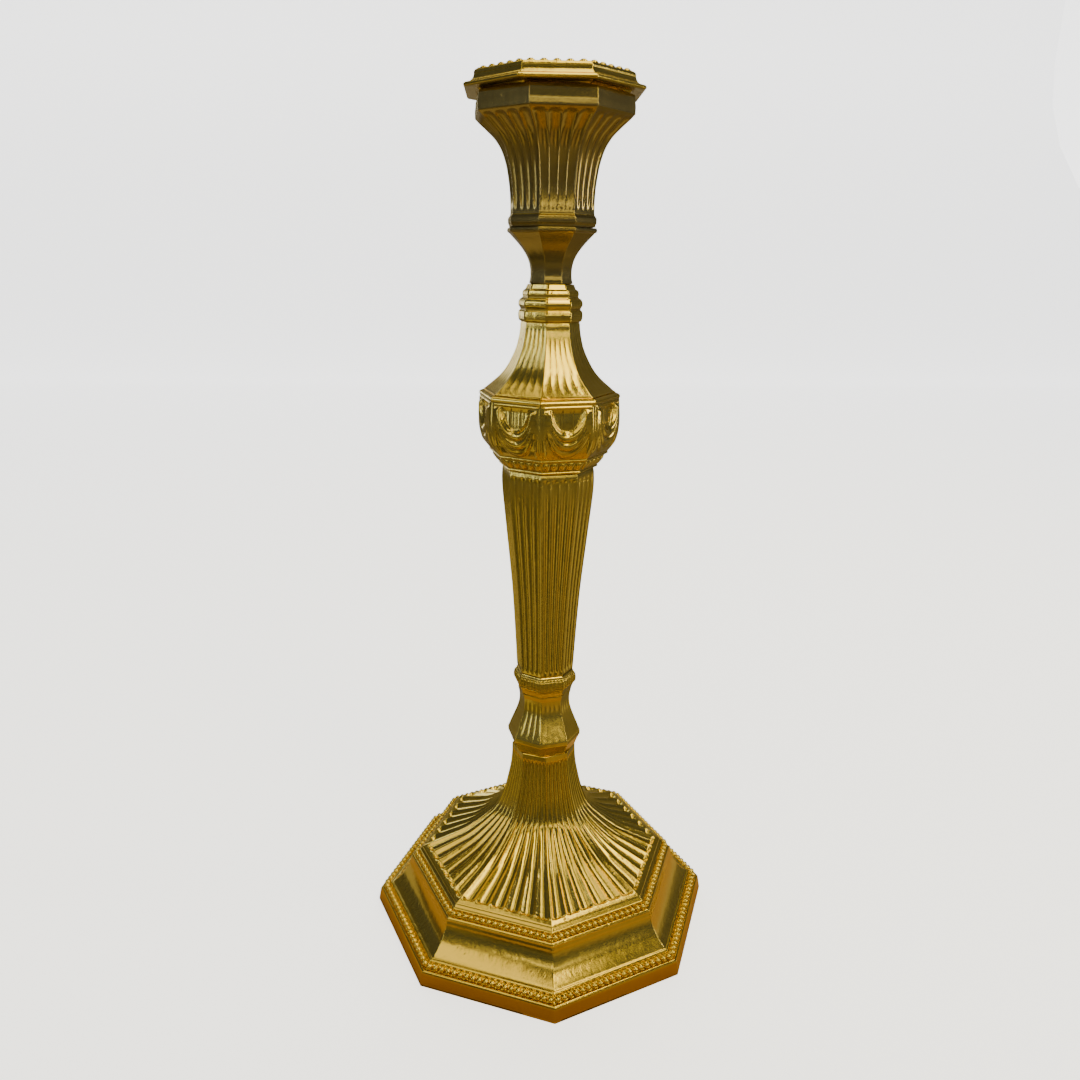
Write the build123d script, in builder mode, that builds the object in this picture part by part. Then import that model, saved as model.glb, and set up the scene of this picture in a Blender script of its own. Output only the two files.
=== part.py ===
"""Octagonal brass candlestick: hollow castings stacked on one tie rod, with a lift-out nozzle.

Millimetres. The origin is the middle of the foot's underside, +Z points up the stick,
and a corner of the foot points along -Y.
"""

import os
from math import cos, radians, sin

from build123d import *

# Driving dimensions
ACROSS_FLATS = 120.0  # foot, measured over two opposite flats
WALL = 2.6  # usual thickness of a cored casting
CANDLE_R = 11.0  # socket for a standard 22 mm dinner candle
CANDLE_DEPTH = 26.0
TUBE_WALL = 0.6  # drawn nozzle tube
TURN_CLEARANCE = 0.08  # pan on its tube
DROP_CLEARANCE = 0.3  # tube in the cup
ROD_R = 3.0
ROD_HOLE_R = 3.2
SPIGOT_PLAY = 0.1  # between a locating spigot and its recess
SPIGOT_R = 5.0
SPIGOT_H = 1.6

# Each casting was tightened a little out of line with the foot: degrees about +Z
FOOT_TURN = 0.0
KNOP_TURN = -10.0
STEM_TURN = -12.0
URN_TURN = -11.0
CUP_TURN = -20.0
PAN_TURN = -25.0

# Heights where one casting ends and the next one starts
FOOT_TOP = 69.5
KNOP_TOP = 92.5
RING_TOP = 100.8
STEM_TOP = 176.7
URN_TOP = 202.5
SHOULDER_TOP = 225.0
COLLAR_TOP = 236.8
NECK_TOP = 254.0
CUP_TOP = 291.5
PAN_TOP = 298.3

# Half widths over the flats where two castings meet
HALF = ACROSS_FLATS / 2
FOOT_TOP_HALF = 11.1
RING_LOW_HALF = 9.5
STEM_LOW_HALF = 9.6
STEM_TOP_HALF = 14.6
URN_TOP_HALF = 20.7
SHOULDER_TOP_HALF = 9.0
COLLAR_HALF = 9.8
NECK_HALF = 6.4
NECK_TOP_HALF = 13.8
CUP_RIM_HALF = 23.3
PAN_HALF = 27.0

SPAN = 2 * HALF  # reach of the straight mouldings, past every corner
TUBE_R = CANDLE_R + TUBE_WALL


def mitre(turn):
    """Planes and modes for four straight mouldings, whose common volume is a mitred octagon."""
    steps = []
    for index in range(4):
        angle = radians(turn + 22.5 + 45 * index)
        across = (cos(angle), sin(angle), 0)
        along = (sin(angle), -cos(angle), 0)
        mode = Mode.INTERSECT if index else Mode.ADD
        steps.append((Plane(origin=(0, 0, 0), x_dir=across, z_dir=along), mode))
    return steps


os.makedirs("parts", exist_ok=True)

# Foot: plinth, two banded steps and a dome that rises to a narrow neck
DOME_HALF = 42.0
DOME_START = 24.8
CORE_NECK_TOP = FOOT_TOP - 8.5

with BuildSketch() as foot_outline:
    with BuildLine():
        Polyline((0, 0), (HALF, 0), (HALF - 0.9, 5.3), (HALF - 4.3, 7.6))
        ThreePointArc((HALF - 4.3, 7.6), (HALF - 9.2, 11.6), (HALF - 12.2, 17.9))
        Polyline((HALF - 12.2, 17.9), (HALF - 12.5, 19.8), (HALF - 15.6, 23.9), (DOME_HALF, DOME_START))
        ThreePointArc((DOME_HALF, DOME_START), (25.6, 33.2), (15.8, 44.4))
        ThreePointArc((15.8, 44.4), (12.6, 54.6), (10.9, 66.0))
        Polyline((10.9, 66.0), (FOOT_TOP_HALF, FOOT_TOP), (0, FOOT_TOP))
        mirror(about=Plane.YZ)
    make_face()

with BuildSketch() as foot_core_outline:
    with BuildLine():
        Polyline((0, 0), (HALF - 3.4, 0), (HALF - 4.4, 4.2), (HALF - 8.4, 6.4))
        ThreePointArc((HALF - 8.4, 6.4), (HALF - 12.6, 11.4), (HALF - 15.6, 19.0))
        Polyline((HALF - 15.6, 19.0), (DOME_HALF - 1.0, 21.9))
        ThreePointArc((DOME_HALF - 1.0, 21.9), (23.2, 30.6), (13.0, 43.2))
        ThreePointArc((13.0, 43.2), (9.9, 53.0), (8.7, CORE_NECK_TOP))
        Line((8.7, CORE_NECK_TOP), (0, CORE_NECK_TOP))
        mirror(about=Plane.YZ)
    make_face()

with BuildPart() as foot_core:
    for plane, mode in mitre(FOOT_TURN):
        with BuildSketch(plane):
            add(foot_core_outline.sketch)
        extrude(amount=SPAN, both=True, mode=mode)

with BuildPart() as base:
    for plane, mode in mitre(FOOT_TURN):
        with BuildSketch(plane):
            add(foot_outline.sketch)
        extrude(amount=SPAN, both=True, mode=mode)
    add(foot_core.part, mode=Mode.SUBTRACT)
    with BuildSketch(Plane.XY.offset(CORE_NECK_TOP - 1)):
        Circle(ROD_HOLE_R)
    extrude(amount=FOOT_TOP - CORE_NECK_TOP + 2, mode=Mode.SUBTRACT)
    with BuildSketch(Plane.XY.offset(FOOT_TOP)):
        Circle(SPIGOT_R + SPIGOT_PLAY)
    extrude(amount=-(SPIGOT_H + SPIGOT_PLAY), mode=Mode.SUBTRACT)

base.part.label = "base"
export_step(base.part, "parts/base.step")

# Knop: a solid bulb with a waist above it
with BuildSketch() as knop_outline:
    with BuildLine():
        Polyline((0, FOOT_TOP), (FOOT_TOP_HALF, FOOT_TOP), (12.5, 73.8), (12.5, 75.6))
        ThreePointArc((12.5, 75.6), (10.4, 80.7), (8.7, 86.5))
        Polyline((8.7, 86.5), (8.7, 89.2), (RING_LOW_HALF, KNOP_TOP), (0, KNOP_TOP))
        mirror(about=Plane.YZ)
    make_face()

with BuildPart() as knop:
    for plane, mode in mitre(KNOP_TURN):
        with BuildSketch(plane):
            add(knop_outline.sketch)
        extrude(amount=SPAN, both=True, mode=mode)
    with BuildSketch(Plane.XY.offset(FOOT_TOP)):
        Circle(SPIGOT_R)
    extrude(amount=-SPIGOT_H)
    with BuildSketch(Plane.XY.offset(KNOP_TOP)):
        Circle(SPIGOT_R + SPIGOT_PLAY)
    extrude(amount=-(SPIGOT_H + SPIGOT_PLAY), mode=Mode.SUBTRACT)
    with BuildSketch(Plane.XY.offset(FOOT_TOP - SPIGOT_H - 1)):
        Circle(ROD_HOLE_R)
    extrude(amount=KNOP_TOP - FOOT_TOP + SPIGOT_H + 2, mode=Mode.SUBTRACT)

knop.part.label = "knop"
export_step(knop.part, "parts/knop.step")

# Stem ring: the milled ring that carries the column, with a spigot at each end
STEM_CORE_LOW_R = 6.4
STEM_CORE_TOP_R = 11.9

with BuildSketch() as ring_outline:
    with BuildLine():
        Line((0, KNOP_TOP), (RING_LOW_HALF, KNOP_TOP))
        ThreePointArc((RING_LOW_HALF, KNOP_TOP), (10.6, 96.2), (STEM_LOW_HALF, RING_TOP))
        Line((STEM_LOW_HALF, RING_TOP), (0, RING_TOP))
        mirror(about=Plane.YZ)
    make_face()

with BuildPart() as stem_ring:
    for plane, mode in mitre(STEM_TURN):
        with BuildSketch(plane):
            add(ring_outline.sketch)
        extrude(amount=SPAN, both=True, mode=mode)
    with BuildSketch(Plane.XY.offset(KNOP_TOP)):
        Circle(SPIGOT_R)
    extrude(amount=-SPIGOT_H)
    with BuildSketch(Plane.XY.offset(RING_TOP)):
        Circle(STEM_CORE_LOW_R - SPIGOT_PLAY)
    extrude(amount=SPIGOT_H)
    with BuildSketch(Plane.XY.offset(KNOP_TOP - SPIGOT_H - 1)):
        Circle(ROD_HOLE_R)
    extrude(amount=RING_TOP - KNOP_TOP + 2 * SPIGOT_H + 2, mode=Mode.SUBTRACT)

stem_ring.part.label = "stem_ring"
export_step(stem_ring.part, "parts/stem_ring.step")

# Stem: the tapered column, cored right through
STEM_WIDEST = 14.9

with BuildSketch() as stem_outline:
    with BuildLine():
        Line((0, RING_TOP), (STEM_LOW_HALF, RING_TOP))
        ThreePointArc((STEM_LOW_HALF, RING_TOP), (11.95, 138.0), (STEM_WIDEST, 170.0))
        Polyline((STEM_WIDEST, 170.0), (STEM_TOP_HALF, STEM_TOP), (0, STEM_TOP))
        mirror(about=Plane.YZ)
    make_face()

with BuildPart() as stem:
    for plane, mode in mitre(STEM_TURN):
        with BuildSketch(plane):
            add(stem_outline.sketch)
        extrude(amount=SPAN, both=True, mode=mode)
    with BuildSketch(Plane.XZ):
        with BuildLine():
            Polyline(
                (0, RING_TOP),
                (STEM_CORE_LOW_R, RING_TOP),
                (STEM_CORE_LOW_R, RING_TOP + 3),
                (STEM_CORE_TOP_R, STEM_TOP - 4),
                (STEM_CORE_TOP_R, STEM_TOP),
                (0, STEM_TOP),
                close=True,
            )
        make_face()
    revolve(axis=Axis.Z, mode=Mode.SUBTRACT)

stem.part.label = "stem"
export_step(stem.part, "parts/stem.step")

# Urn: the swagged drum over the stem, open at the top, with a web and a spigot below
URN_MOUTH_R = URN_TOP_HALF - WALL

with BuildSketch() as urn_outline:
    with BuildLine():
        Polyline((0, STEM_TOP), (STEM_TOP_HALF, STEM_TOP), (17.8, 181.0))
        ThreePointArc((17.8, 181.0), (20.9, 185.4), (22.2, 190.5))
        Polyline((22.2, 190.5), (21.7, 201.2), (URN_TOP_HALF, URN_TOP), (0, URN_TOP))
        mirror(about=Plane.YZ)
    make_face()

with BuildPart() as urn:
    for plane, mode in mitre(URN_TURN):
        with BuildSketch(plane):
            add(urn_outline.sketch)
        extrude(amount=SPAN, both=True, mode=mode)
    with BuildSketch(Plane.XZ):
        with BuildLine():
            Polyline(
                (0, STEM_TOP + 3),
                (STEM_TOP_HALF - WALL, STEM_TOP + 3),
                (18.2, 186.5),
                (19.0, 191.0),
                (19.0, 199.0),
                (URN_MOUTH_R, 200.0),
                (URN_MOUTH_R, URN_TOP),
                (0, URN_TOP),
                close=True,
            )
        make_face()
    revolve(axis=Axis.Z, mode=Mode.SUBTRACT)
    with BuildSketch(Plane.XY.offset(STEM_TOP)):
        Circle(STEM_CORE_TOP_R - SPIGOT_PLAY)
    extrude(amount=-SPIGOT_H)
    with BuildSketch(Plane.XY.offset(STEM_TOP - SPIGOT_H - 1)):
        Circle(ROD_HOLE_R)
    extrude(amount=SPIGOT_H + 5, mode=Mode.SUBTRACT)

urn.part.label = "urn"
export_step(urn.part, "parts/urn.step")

# Shoulder: the fluted cap of the urn, a hollow bell with a web at its top
SHOULDER_CORE_TOP = SHOULDER_TOP - 4.0

with BuildSketch() as shoulder_outline:
    with BuildLine():
        Line((0, URN_TOP), (URN_TOP_HALF, URN_TOP))
        ThreePointArc((URN_TOP_HALF, URN_TOP), (15.4, 207.0), (11.8, 213.0))
        ThreePointArc((11.8, 213.0), (9.8, 218.6), (SHOULDER_TOP_HALF, SHOULDER_TOP))
        Line((SHOULDER_TOP_HALF, SHOULDER_TOP), (0, SHOULDER_TOP))
        mirror(about=Plane.YZ)
    make_face()

with BuildPart() as shoulder:
    for plane, mode in mitre(URN_TURN):
        with BuildSketch(plane):
            add(shoulder_outline.sketch)
        extrude(amount=SPAN, both=True, mode=mode)
    with BuildSketch(Plane.XY.offset(URN_TOP)):
        Circle(URN_MOUTH_R - SPIGOT_PLAY)
    extrude(amount=-SPIGOT_H)
    with BuildSketch(Plane.XZ):
        with BuildLine():
            Polyline((0, URN_TOP - SPIGOT_H), (16.0, URN_TOP - SPIGOT_H), (15.4, 203.2))
            ThreePointArc((15.4, 203.2), (10.2, 208.8), (7.2, 216.0))
            Polyline((7.2, 216.0), (6.4, SHOULDER_CORE_TOP), (0, SHOULDER_CORE_TOP), (0, URN_TOP - SPIGOT_H))
        make_face()
    revolve(axis=Axis.Z, mode=Mode.SUBTRACT)
    with BuildSketch(Plane.XY.offset(SHOULDER_CORE_TOP - 1)):
        Circle(ROD_HOLE_R)
    extrude(amount=SHOULDER_TOP - SHOULDER_CORE_TOP + 2, mode=Mode.SUBTRACT)
    with BuildSketch(Plane.XY.offset(SHOULDER_TOP)):
        Circle(SPIGOT_R + SPIGOT_PLAY)
    extrude(amount=-(SPIGOT_H + SPIGOT_PLAY), mode=Mode.SUBTRACT)

shoulder.part.label = "shoulder"
export_step(shoulder.part, "parts/shoulder.step")

# Collar: a grooved ring that steps in to the neck
with BuildSketch() as collar_outline:
    with BuildLine():
        Polyline(
            (0, SHOULDER_TOP),
            (COLLAR_HALF, SHOULDER_TOP),
            (COLLAR_HALF, 227.8),
            (COLLAR_HALF - 0.5, 228.2),
            (COLLAR_HALF, 228.6),
            (COLLAR_HALF, 232.2),
            (9.0, 233.2),
            (8.0, 234.0),
            (8.0, 235.8),
            (7.0, COLLAR_TOP),
            (0, COLLAR_TOP),
        )
        mirror(about=Plane.YZ)
    make_face()

with BuildPart() as collar:
    for plane, mode in mitre(URN_TURN):
        with BuildSketch(plane):
            add(collar_outline.sketch)
        extrude(amount=SPAN, both=True, mode=mode)
    with BuildSketch(Plane.XY.offset(SHOULDER_TOP)):
        Circle(SPIGOT_R)
    extrude(amount=-SPIGOT_H)
    with BuildSketch(Plane.XY.offset(COLLAR_TOP)):
        Circle(SPIGOT_R + SPIGOT_PLAY)
    extrude(amount=-(SPIGOT_H + SPIGOT_PLAY), mode=Mode.SUBTRACT)
    with BuildSketch(Plane.XY.offset(SHOULDER_TOP - SPIGOT_H - 1)):
        Circle(ROD_HOLE_R)
    extrude(amount=COLLAR_TOP - SHOULDER_TOP + SPIGOT_H + 2, mode=Mode.SUBTRACT)

collar.part.label = "collar"
export_step(collar.part, "parts/collar.step")

# Neck: a slender trumpet that opens out under the cup
with BuildSketch() as neck_outline:
    with BuildLine():
        Polyline((0, COLLAR_TOP), (NECK_HALF + 0.4, COLLAR_TOP), (NECK_HALF, 239.0))
        ThreePointArc((NECK_HALF, 239.0), (8.4, 246.5), (13.3, 252.4))
        Polyline((13.3, 252.4), (NECK_TOP_HALF, 253.4), (NECK_TOP_HALF, NECK_TOP), (0, NECK_TOP))
        mirror(about=Plane.YZ)
    make_face()

with BuildPart() as neck:
    for plane, mode in mitre(CUP_TURN):
        with BuildSketch(plane):
            add(neck_outline.sketch)
        extrude(amount=SPAN, both=True, mode=mode)
    with BuildSketch(Plane.XY.offset(COLLAR_TOP)):
        Circle(SPIGOT_R)
    extrude(amount=-SPIGOT_H)
    with BuildSketch(Plane.XY.offset(NECK_TOP)):
        Circle(SPIGOT_R + SPIGOT_PLAY)
    extrude(amount=-(SPIGOT_H + SPIGOT_PLAY), mode=Mode.SUBTRACT)
    with BuildSketch(Plane.XY.offset(COLLAR_TOP - SPIGOT_H - 1)):
        Circle(ROD_HOLE_R)
    extrude(amount=NECK_TOP - COLLAR_TOP + SPIGOT_H + 2, mode=Mode.SUBTRACT)

neck.part.label = "neck"
export_step(neck.part, "parts/neck.step")

# Candle cup: a fluted vase with a plain band, bored for the nozzle tube
CUP_BORE_R = TUBE_R + DROP_CLEARANCE
CUP_FLOOR = NECK_TOP + 4.0
CUP_MOUTH_R = CUP_RIM_HALF - 2.3

with BuildSketch() as cup_outline:
    with BuildLine():
        Polyline((0, NECK_TOP), (13.3, NECK_TOP), (13.5, 255.8), (13.5, 257.0), (12.9, 258.4), (12.9, 262.0))
        ThreePointArc((12.9, 262.0), (13.6, 269.4), (15.4, 276.4))
        ThreePointArc((15.4, 276.4), (18.6, 281.1), (23.2, 285.4))
        Polyline((23.2, 285.4), (23.7, 286.2), (23.7, 288.0), (CUP_RIM_HALF, CUP_TOP), (0, CUP_TOP))
        mirror(about=Plane.YZ)
    make_face()

with BuildPart() as candle_cup:
    for plane, mode in mitre(CUP_TURN):
        with BuildSketch(plane):
            add(cup_outline.sketch)
        extrude(amount=SPAN, both=True, mode=mode)
    with BuildSketch(Plane.XY.offset(NECK_TOP)):
        Circle(SPIGOT_R)
    extrude(amount=-SPIGOT_H)
    with BuildSketch(Plane.XZ):
        with BuildLine():
            Polyline(
                (0, CUP_FLOOR),
                (9.4, CUP_FLOOR),
                (CUP_BORE_R - 0.9, CUP_FLOOR + 2.0),
                (CUP_BORE_R - 0.9, 266.0),
                (CUP_BORE_R, 266.6),
                (CUP_BORE_R, 277.0),
            )
            ThreePointArc((CUP_BORE_R, 277.0), (15.4, 282.4), (CUP_MOUTH_R, 287.4))
            Polyline((CUP_MOUTH_R, 287.4), (CUP_MOUTH_R, CUP_TOP), (0, CUP_TOP), (0, CUP_FLOOR))
        make_face()
    revolve(axis=Axis.Z, mode=Mode.SUBTRACT)
    with BuildSketch(Plane.XY.offset(NECK_TOP - SPIGOT_H - 1)):
        Circle(ROD_HOLE_R)
    extrude(amount=SPIGOT_H + 6, mode=Mode.SUBTRACT)

candle_cup.part.label = "candle_cup"
export_step(candle_cup.part, "parts/candle_cup.step")

# Nozzle pan: octagonal drip pan that rests on the cup's rim and turns on its tube
PAN_SEAT = CUP_TOP + 0.1
PAN_BORE_R = TUBE_R + TURN_CLEARANCE
PAN_LEDGE_TOP = 295.0
PAN_SPIGOT_R = CUP_MOUTH_R - 0.5

with BuildSketch() as pan_outline:
    with BuildLine():
        Polyline((0, PAN_SEAT), (22.4, PAN_SEAT), (23.0, 292.2), (PAN_HALF - 0.4, 292.2), (PAN_HALF, 292.7))
        Polyline((PAN_HALF, 292.7), (PAN_HALF - 0.5, 293.6))
        ThreePointArc((PAN_HALF - 0.5, 293.6), (PAN_HALF - 2.4, 294.4), (PAN_HALF - 3.3, 296.0))
        Polyline((PAN_HALF - 3.3, 296.0), (PAN_HALF - 3.8, PAN_TOP), (0, PAN_TOP))
        mirror(about=Plane.YZ)
    make_face()

with BuildPart() as nozzle_pan:
    for plane, mode in mitre(PAN_TURN):
        with BuildSketch(plane):
            add(pan_outline.sketch)
        extrude(amount=SPAN, both=True, mode=mode)
    with BuildSketch(Plane.XY.offset(PAN_SEAT)):
        Circle(PAN_SPIGOT_R)
    extrude(amount=-1.6)
    with BuildSketch(Plane.XY.offset(PAN_SEAT - 1.6)):
        Circle(PAN_SPIGOT_R - 1.6)
        Circle(14.4, mode=Mode.SUBTRACT)
    extrude(amount=2.4, mode=Mode.SUBTRACT)
    with BuildSketch(Plane.XY.offset(PAN_SEAT - 1.6)):
        Circle(14.5)
    extrude(amount=1.6, mode=Mode.SUBTRACT)
    with BuildSketch(Plane.XZ):
        with BuildLine():
            Polyline((0, PAN_LEDGE_TOP), (14.6, PAN_LEDGE_TOP), (15.6, 294.2))
            ThreePointArc((15.6, 294.2), (18.6, 294.8), (20.6, PAN_TOP))
            Polyline((20.6, PAN_TOP), (0, PAN_TOP), (0, PAN_LEDGE_TOP))
        make_face()
    revolve(axis=Axis.Z, mode=Mode.SUBTRACT)
    with BuildSketch(Plane.XY.offset(PAN_SEAT - 2)):
        Circle(PAN_BORE_R)
    extrude(amount=PAN_TOP - PAN_SEAT + 3, mode=Mode.SUBTRACT)

nozzle_pan.part.label = "nozzle_pan"
export_step(nozzle_pan.part, "parts/nozzle_pan.step")

# Nozzle tube: drawn cup for the candle, with a rolled lip above the pan and a swaged ring below it
LIP_TOP = 297.0
LIP_LOW = PAN_LEDGE_TOP + 0.3
TUBE_FLOOR = LIP_TOP - CANDLE_DEPTH
TUBE_LOW = TUBE_FLOOR - 0.8
SWAGE_TOP = PAN_SEAT - 0.3

with BuildPart() as nozzle_tube:
    with BuildSketch(Plane.XZ):
        with BuildLine():
            Polyline(
                (0, TUBE_LOW),
                (TUBE_R - 0.8, TUBE_LOW),
                (TUBE_R, TUBE_LOW + 0.8),
                (TUBE_R, SWAGE_TOP - 1.4),
                (TUBE_R + 0.9, SWAGE_TOP - 0.7),
                (TUBE_R + 0.9, SWAGE_TOP),
                (TUBE_R, SWAGE_TOP),
                (TUBE_R, LIP_LOW),
                (TUBE_R + 1.2, LIP_LOW),
            )
            ThreePointArc((TUBE_R + 1.2, LIP_LOW), (TUBE_R + 1.4, LIP_TOP - 0.7), (TUBE_R + 0.4, LIP_TOP))
            Polyline(
                (TUBE_R + 0.4, LIP_TOP),
                (CANDLE_R + 0.3, LIP_TOP),
                (CANDLE_R, LIP_TOP - 0.3),
                (CANDLE_R, TUBE_FLOOR),
                (0, TUBE_FLOOR),
                (0, TUBE_LOW),
            )
        make_face()
    revolve(axis=Axis.Z)

nozzle_tube.part.label = "nozzle_tube"
export_step(nozzle_tube.part, "parts/nozzle_tube.step")

# Tie rod: threaded over its whole length, from under the foot's web to inside the cup
WASHER_T = 1.6
LOCK_T = 1.5
NUT_T = 5.0
NUT_HALF = 5.0
THIN_NUT_T = 3.2
ROD_LOW = CORE_NECK_TOP - WASHER_T - LOCK_T - NUT_T - 4.0
ROD_TOP = CUP_FLOOR + 1.2 + THIN_NUT_T + 1.6
THREAD_CHAMFER = 0.6

with BuildPart() as tie_rod:
    with BuildSketch(Plane.XY.offset(ROD_LOW)):
        Circle(ROD_R)
    extrude(amount=ROD_TOP - ROD_LOW)
    chamfer(tie_rod.edges().filter_by(GeomType.CIRCLE), length=THREAD_CHAMFER)

tie_rod.part.label = "tie_rod"
export_step(tie_rod.part, "parts/tie_rod.step")

# Fixings under the foot's web: plain washer, split lock washer and nut
with BuildPart() as base_washer:
    with BuildSketch(Plane.XY.offset(CORE_NECK_TOP - WASHER_T)):
        Circle(7.8)
        Circle(ROD_HOLE_R, mode=Mode.SUBTRACT)
    extrude(amount=WASHER_T)

base_washer.part.label = "base_washer"
export_step(base_washer.part, "parts/base_washer.step")

LOCK_TOP = CORE_NECK_TOP - WASHER_T
with BuildPart() as lock_washer:
    with BuildSketch(Plane.XY.offset(LOCK_TOP - LOCK_T)):
        Circle(5.4)
        Circle(ROD_HOLE_R, mode=Mode.SUBTRACT)
        with Locations((4.4, 0)):
            Rectangle(3.4, 0.6, mode=Mode.SUBTRACT)
    extrude(amount=LOCK_T)

lock_washer.part.label = "lock_washer"
export_step(lock_washer.part, "parts/lock_washer.step")

NUT_TOP = LOCK_TOP - LOCK_T
with BuildPart() as base_nut:
    with BuildSketch(Plane.XY.offset(NUT_TOP - NUT_T)):
        RegularPolygon(NUT_HALF, 6, major_radius=False)
        Circle(ROD_R, mode=Mode.SUBTRACT)
    extrude(amount=NUT_T)

base_nut.part.label = "base_nut"
export_step(base_nut.part, "parts/base_nut.step")

# Fixings on the cup's floor: washer and thin nut, under the nozzle tube
with BuildPart() as cup_washer:
    with BuildSketch(Plane.XY.offset(CUP_FLOOR)):
        Circle(8.0)
        Circle(ROD_HOLE_R, mode=Mode.SUBTRACT)
    extrude(amount=1.2)

cup_washer.part.label = "cup_washer"
export_step(cup_washer.part, "parts/cup_washer.step")

with BuildPart() as cup_nut:
    with BuildSketch(Plane.XY.offset(CUP_FLOOR + 1.2)):
        RegularPolygon(NUT_HALF, 6, major_radius=False)
        Circle(ROD_R, mode=Mode.SUBTRACT)
    extrude(amount=THIN_NUT_T)

cup_nut.part.label = "cup_nut"
export_step(cup_nut.part, "parts/cup_nut.step")
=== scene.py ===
# %% [markdown]
# # An octagonal brass candlestick
# The real one is a stack of hollow brass castings, pulled together by a threaded rod, with a
# loose nozzle in the cup. Each casting was tightened by hand, so its corners don't quite line
# up with its neighbour's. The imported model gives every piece's place and how it moves. This
# lesson gives each piece its flutes, beads, swags and finish.

import math

import bmesh
import bpy
import numpy as np
from mathutils import Matrix, Vector


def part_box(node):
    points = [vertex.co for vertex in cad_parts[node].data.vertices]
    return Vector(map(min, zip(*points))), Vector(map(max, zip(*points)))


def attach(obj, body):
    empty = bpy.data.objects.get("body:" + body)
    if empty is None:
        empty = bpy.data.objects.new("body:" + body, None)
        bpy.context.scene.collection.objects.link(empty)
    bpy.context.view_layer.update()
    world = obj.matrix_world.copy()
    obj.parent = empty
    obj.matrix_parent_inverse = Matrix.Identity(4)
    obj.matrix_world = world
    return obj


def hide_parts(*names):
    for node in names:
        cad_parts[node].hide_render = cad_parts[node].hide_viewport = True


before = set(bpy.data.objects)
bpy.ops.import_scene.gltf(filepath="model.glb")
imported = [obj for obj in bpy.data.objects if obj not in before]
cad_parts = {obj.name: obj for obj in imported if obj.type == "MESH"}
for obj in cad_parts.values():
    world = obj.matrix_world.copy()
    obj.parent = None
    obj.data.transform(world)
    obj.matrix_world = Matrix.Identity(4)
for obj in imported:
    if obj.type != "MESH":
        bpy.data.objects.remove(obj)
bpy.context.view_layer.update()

# %% [markdown]
# ## Where each casting starts and ends
# Shapes are drawn in millimetres, as a brass founder would, and scaled to metres only when a
# mesh is made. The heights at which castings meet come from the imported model, so a change
# there moves everything here with it.

# %% Heights and turns
MM = 0.001


def low(node):
    """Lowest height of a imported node, in millimetres."""
    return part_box(node)[0][2] / MM


def high(node):
    """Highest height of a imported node, in millimetres."""
    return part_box(node)[1][2] / MM


FOOT_TOP = high("base")
KNOP_TOP = high("knop")
RING_TOP = low("stem")
STEM_TOP = high("stem")
URN_TOP = high("urn")
SHOULDER_TOP = high("shoulder")
COLLAR_TOP = high("collar")
NECK_TOP = high("neck")
CUP_TOP = high("candle_cup")
PAN_TOP = high("nozzle_pan")

HALF_STEP = math.pi / 8  # half of one side's angle on an octagon
FOOT_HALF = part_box("base")[1][0] / MM * math.cos(HALF_STEP)
ROD_HOLE = 3.2

# How far each casting was turned when the rod was tightened, in degrees
TURNS = {"knop": -10, "stem": -12, "urn": -11, "cup": -20, "pan": -25}
print(f"foot {2 * FOOT_HALF:.1f} mm across flats, stick {PAN_TOP:.1f} mm high")

# %% [markdown]
# ## The camera
# The object is looked at from close by and from above its middle, so the foot is seen well
# from above and the cup slightly from below. A camera this close needs its own place, tilt
# and lens, since a longer lens further away would show the foot as a much flatter ellipse.

# %% Camera
VIEW_TURN = math.radians(-4.65)
VIEW_DISTANCE = 0.2973
VIEW_HEIGHT = 0.2441
VIEW_PAN = math.radians(-0.46)
VIEW_TILT = math.radians(17.6)
VIEW_ROLL = math.radians(-0.75)
LENS = 29.4


def add_object(name, data):
    """A new object in the scene."""
    added = bpy.data.objects.new(name, data)
    bpy.context.collection.objects.link(added)
    return added


def make_camera():
    """Camera with a turn round the stick, then its own pan, tilt and roll."""
    heading = VIEW_TURN - VIEW_PAN
    ahead = np.array([-math.sin(heading), math.cos(heading), 0])
    right = np.array([math.cos(heading), math.sin(heading), 0])
    up = np.array([0, 0, 1])
    forward = math.cos(VIEW_TILT) * ahead - math.sin(VIEW_TILT) * up
    upward = math.sin(VIEW_TILT) * ahead + math.cos(VIEW_TILT) * up
    rolled_right = math.cos(VIEW_ROLL) * right - math.sin(VIEW_ROLL) * upward
    rolled_up = math.sin(VIEW_ROLL) * right + math.cos(VIEW_ROLL) * upward
    data = bpy.data.cameras.new("camera")
    data.lens = LENS
    data.sensor_width = 36
    data.clip_start = 0.01
    camera = add_object("camera", data)
    place = (VIEW_DISTANCE * math.sin(VIEW_TURN), -VIEW_DISTANCE * math.cos(VIEW_TURN), VIEW_HEIGHT)
    matrix = np.eye(4)
    matrix[:3, 0] = rolled_right
    matrix[:3, 1] = rolled_up
    matrix[:3, 2] = -forward
    matrix[:3, 3] = place
    camera.matrix_world = Matrix(matrix)
    bpy.context.scene.camera = camera
    return camera


camera = make_camera()
print("camera at", [round(value, 3) for value in camera.location])

# %% [markdown]
# ## A shorthand for node trees
# Shader and Geometry Nodes share their Math nodes. One small class wraps a socket, so that an
# expression such as `1 - mask * 0.5` adds its nodes by itself, and one method adds any other
# node from its type, its settings and the values or links of its sockets.

# %% Node shorthand


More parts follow.
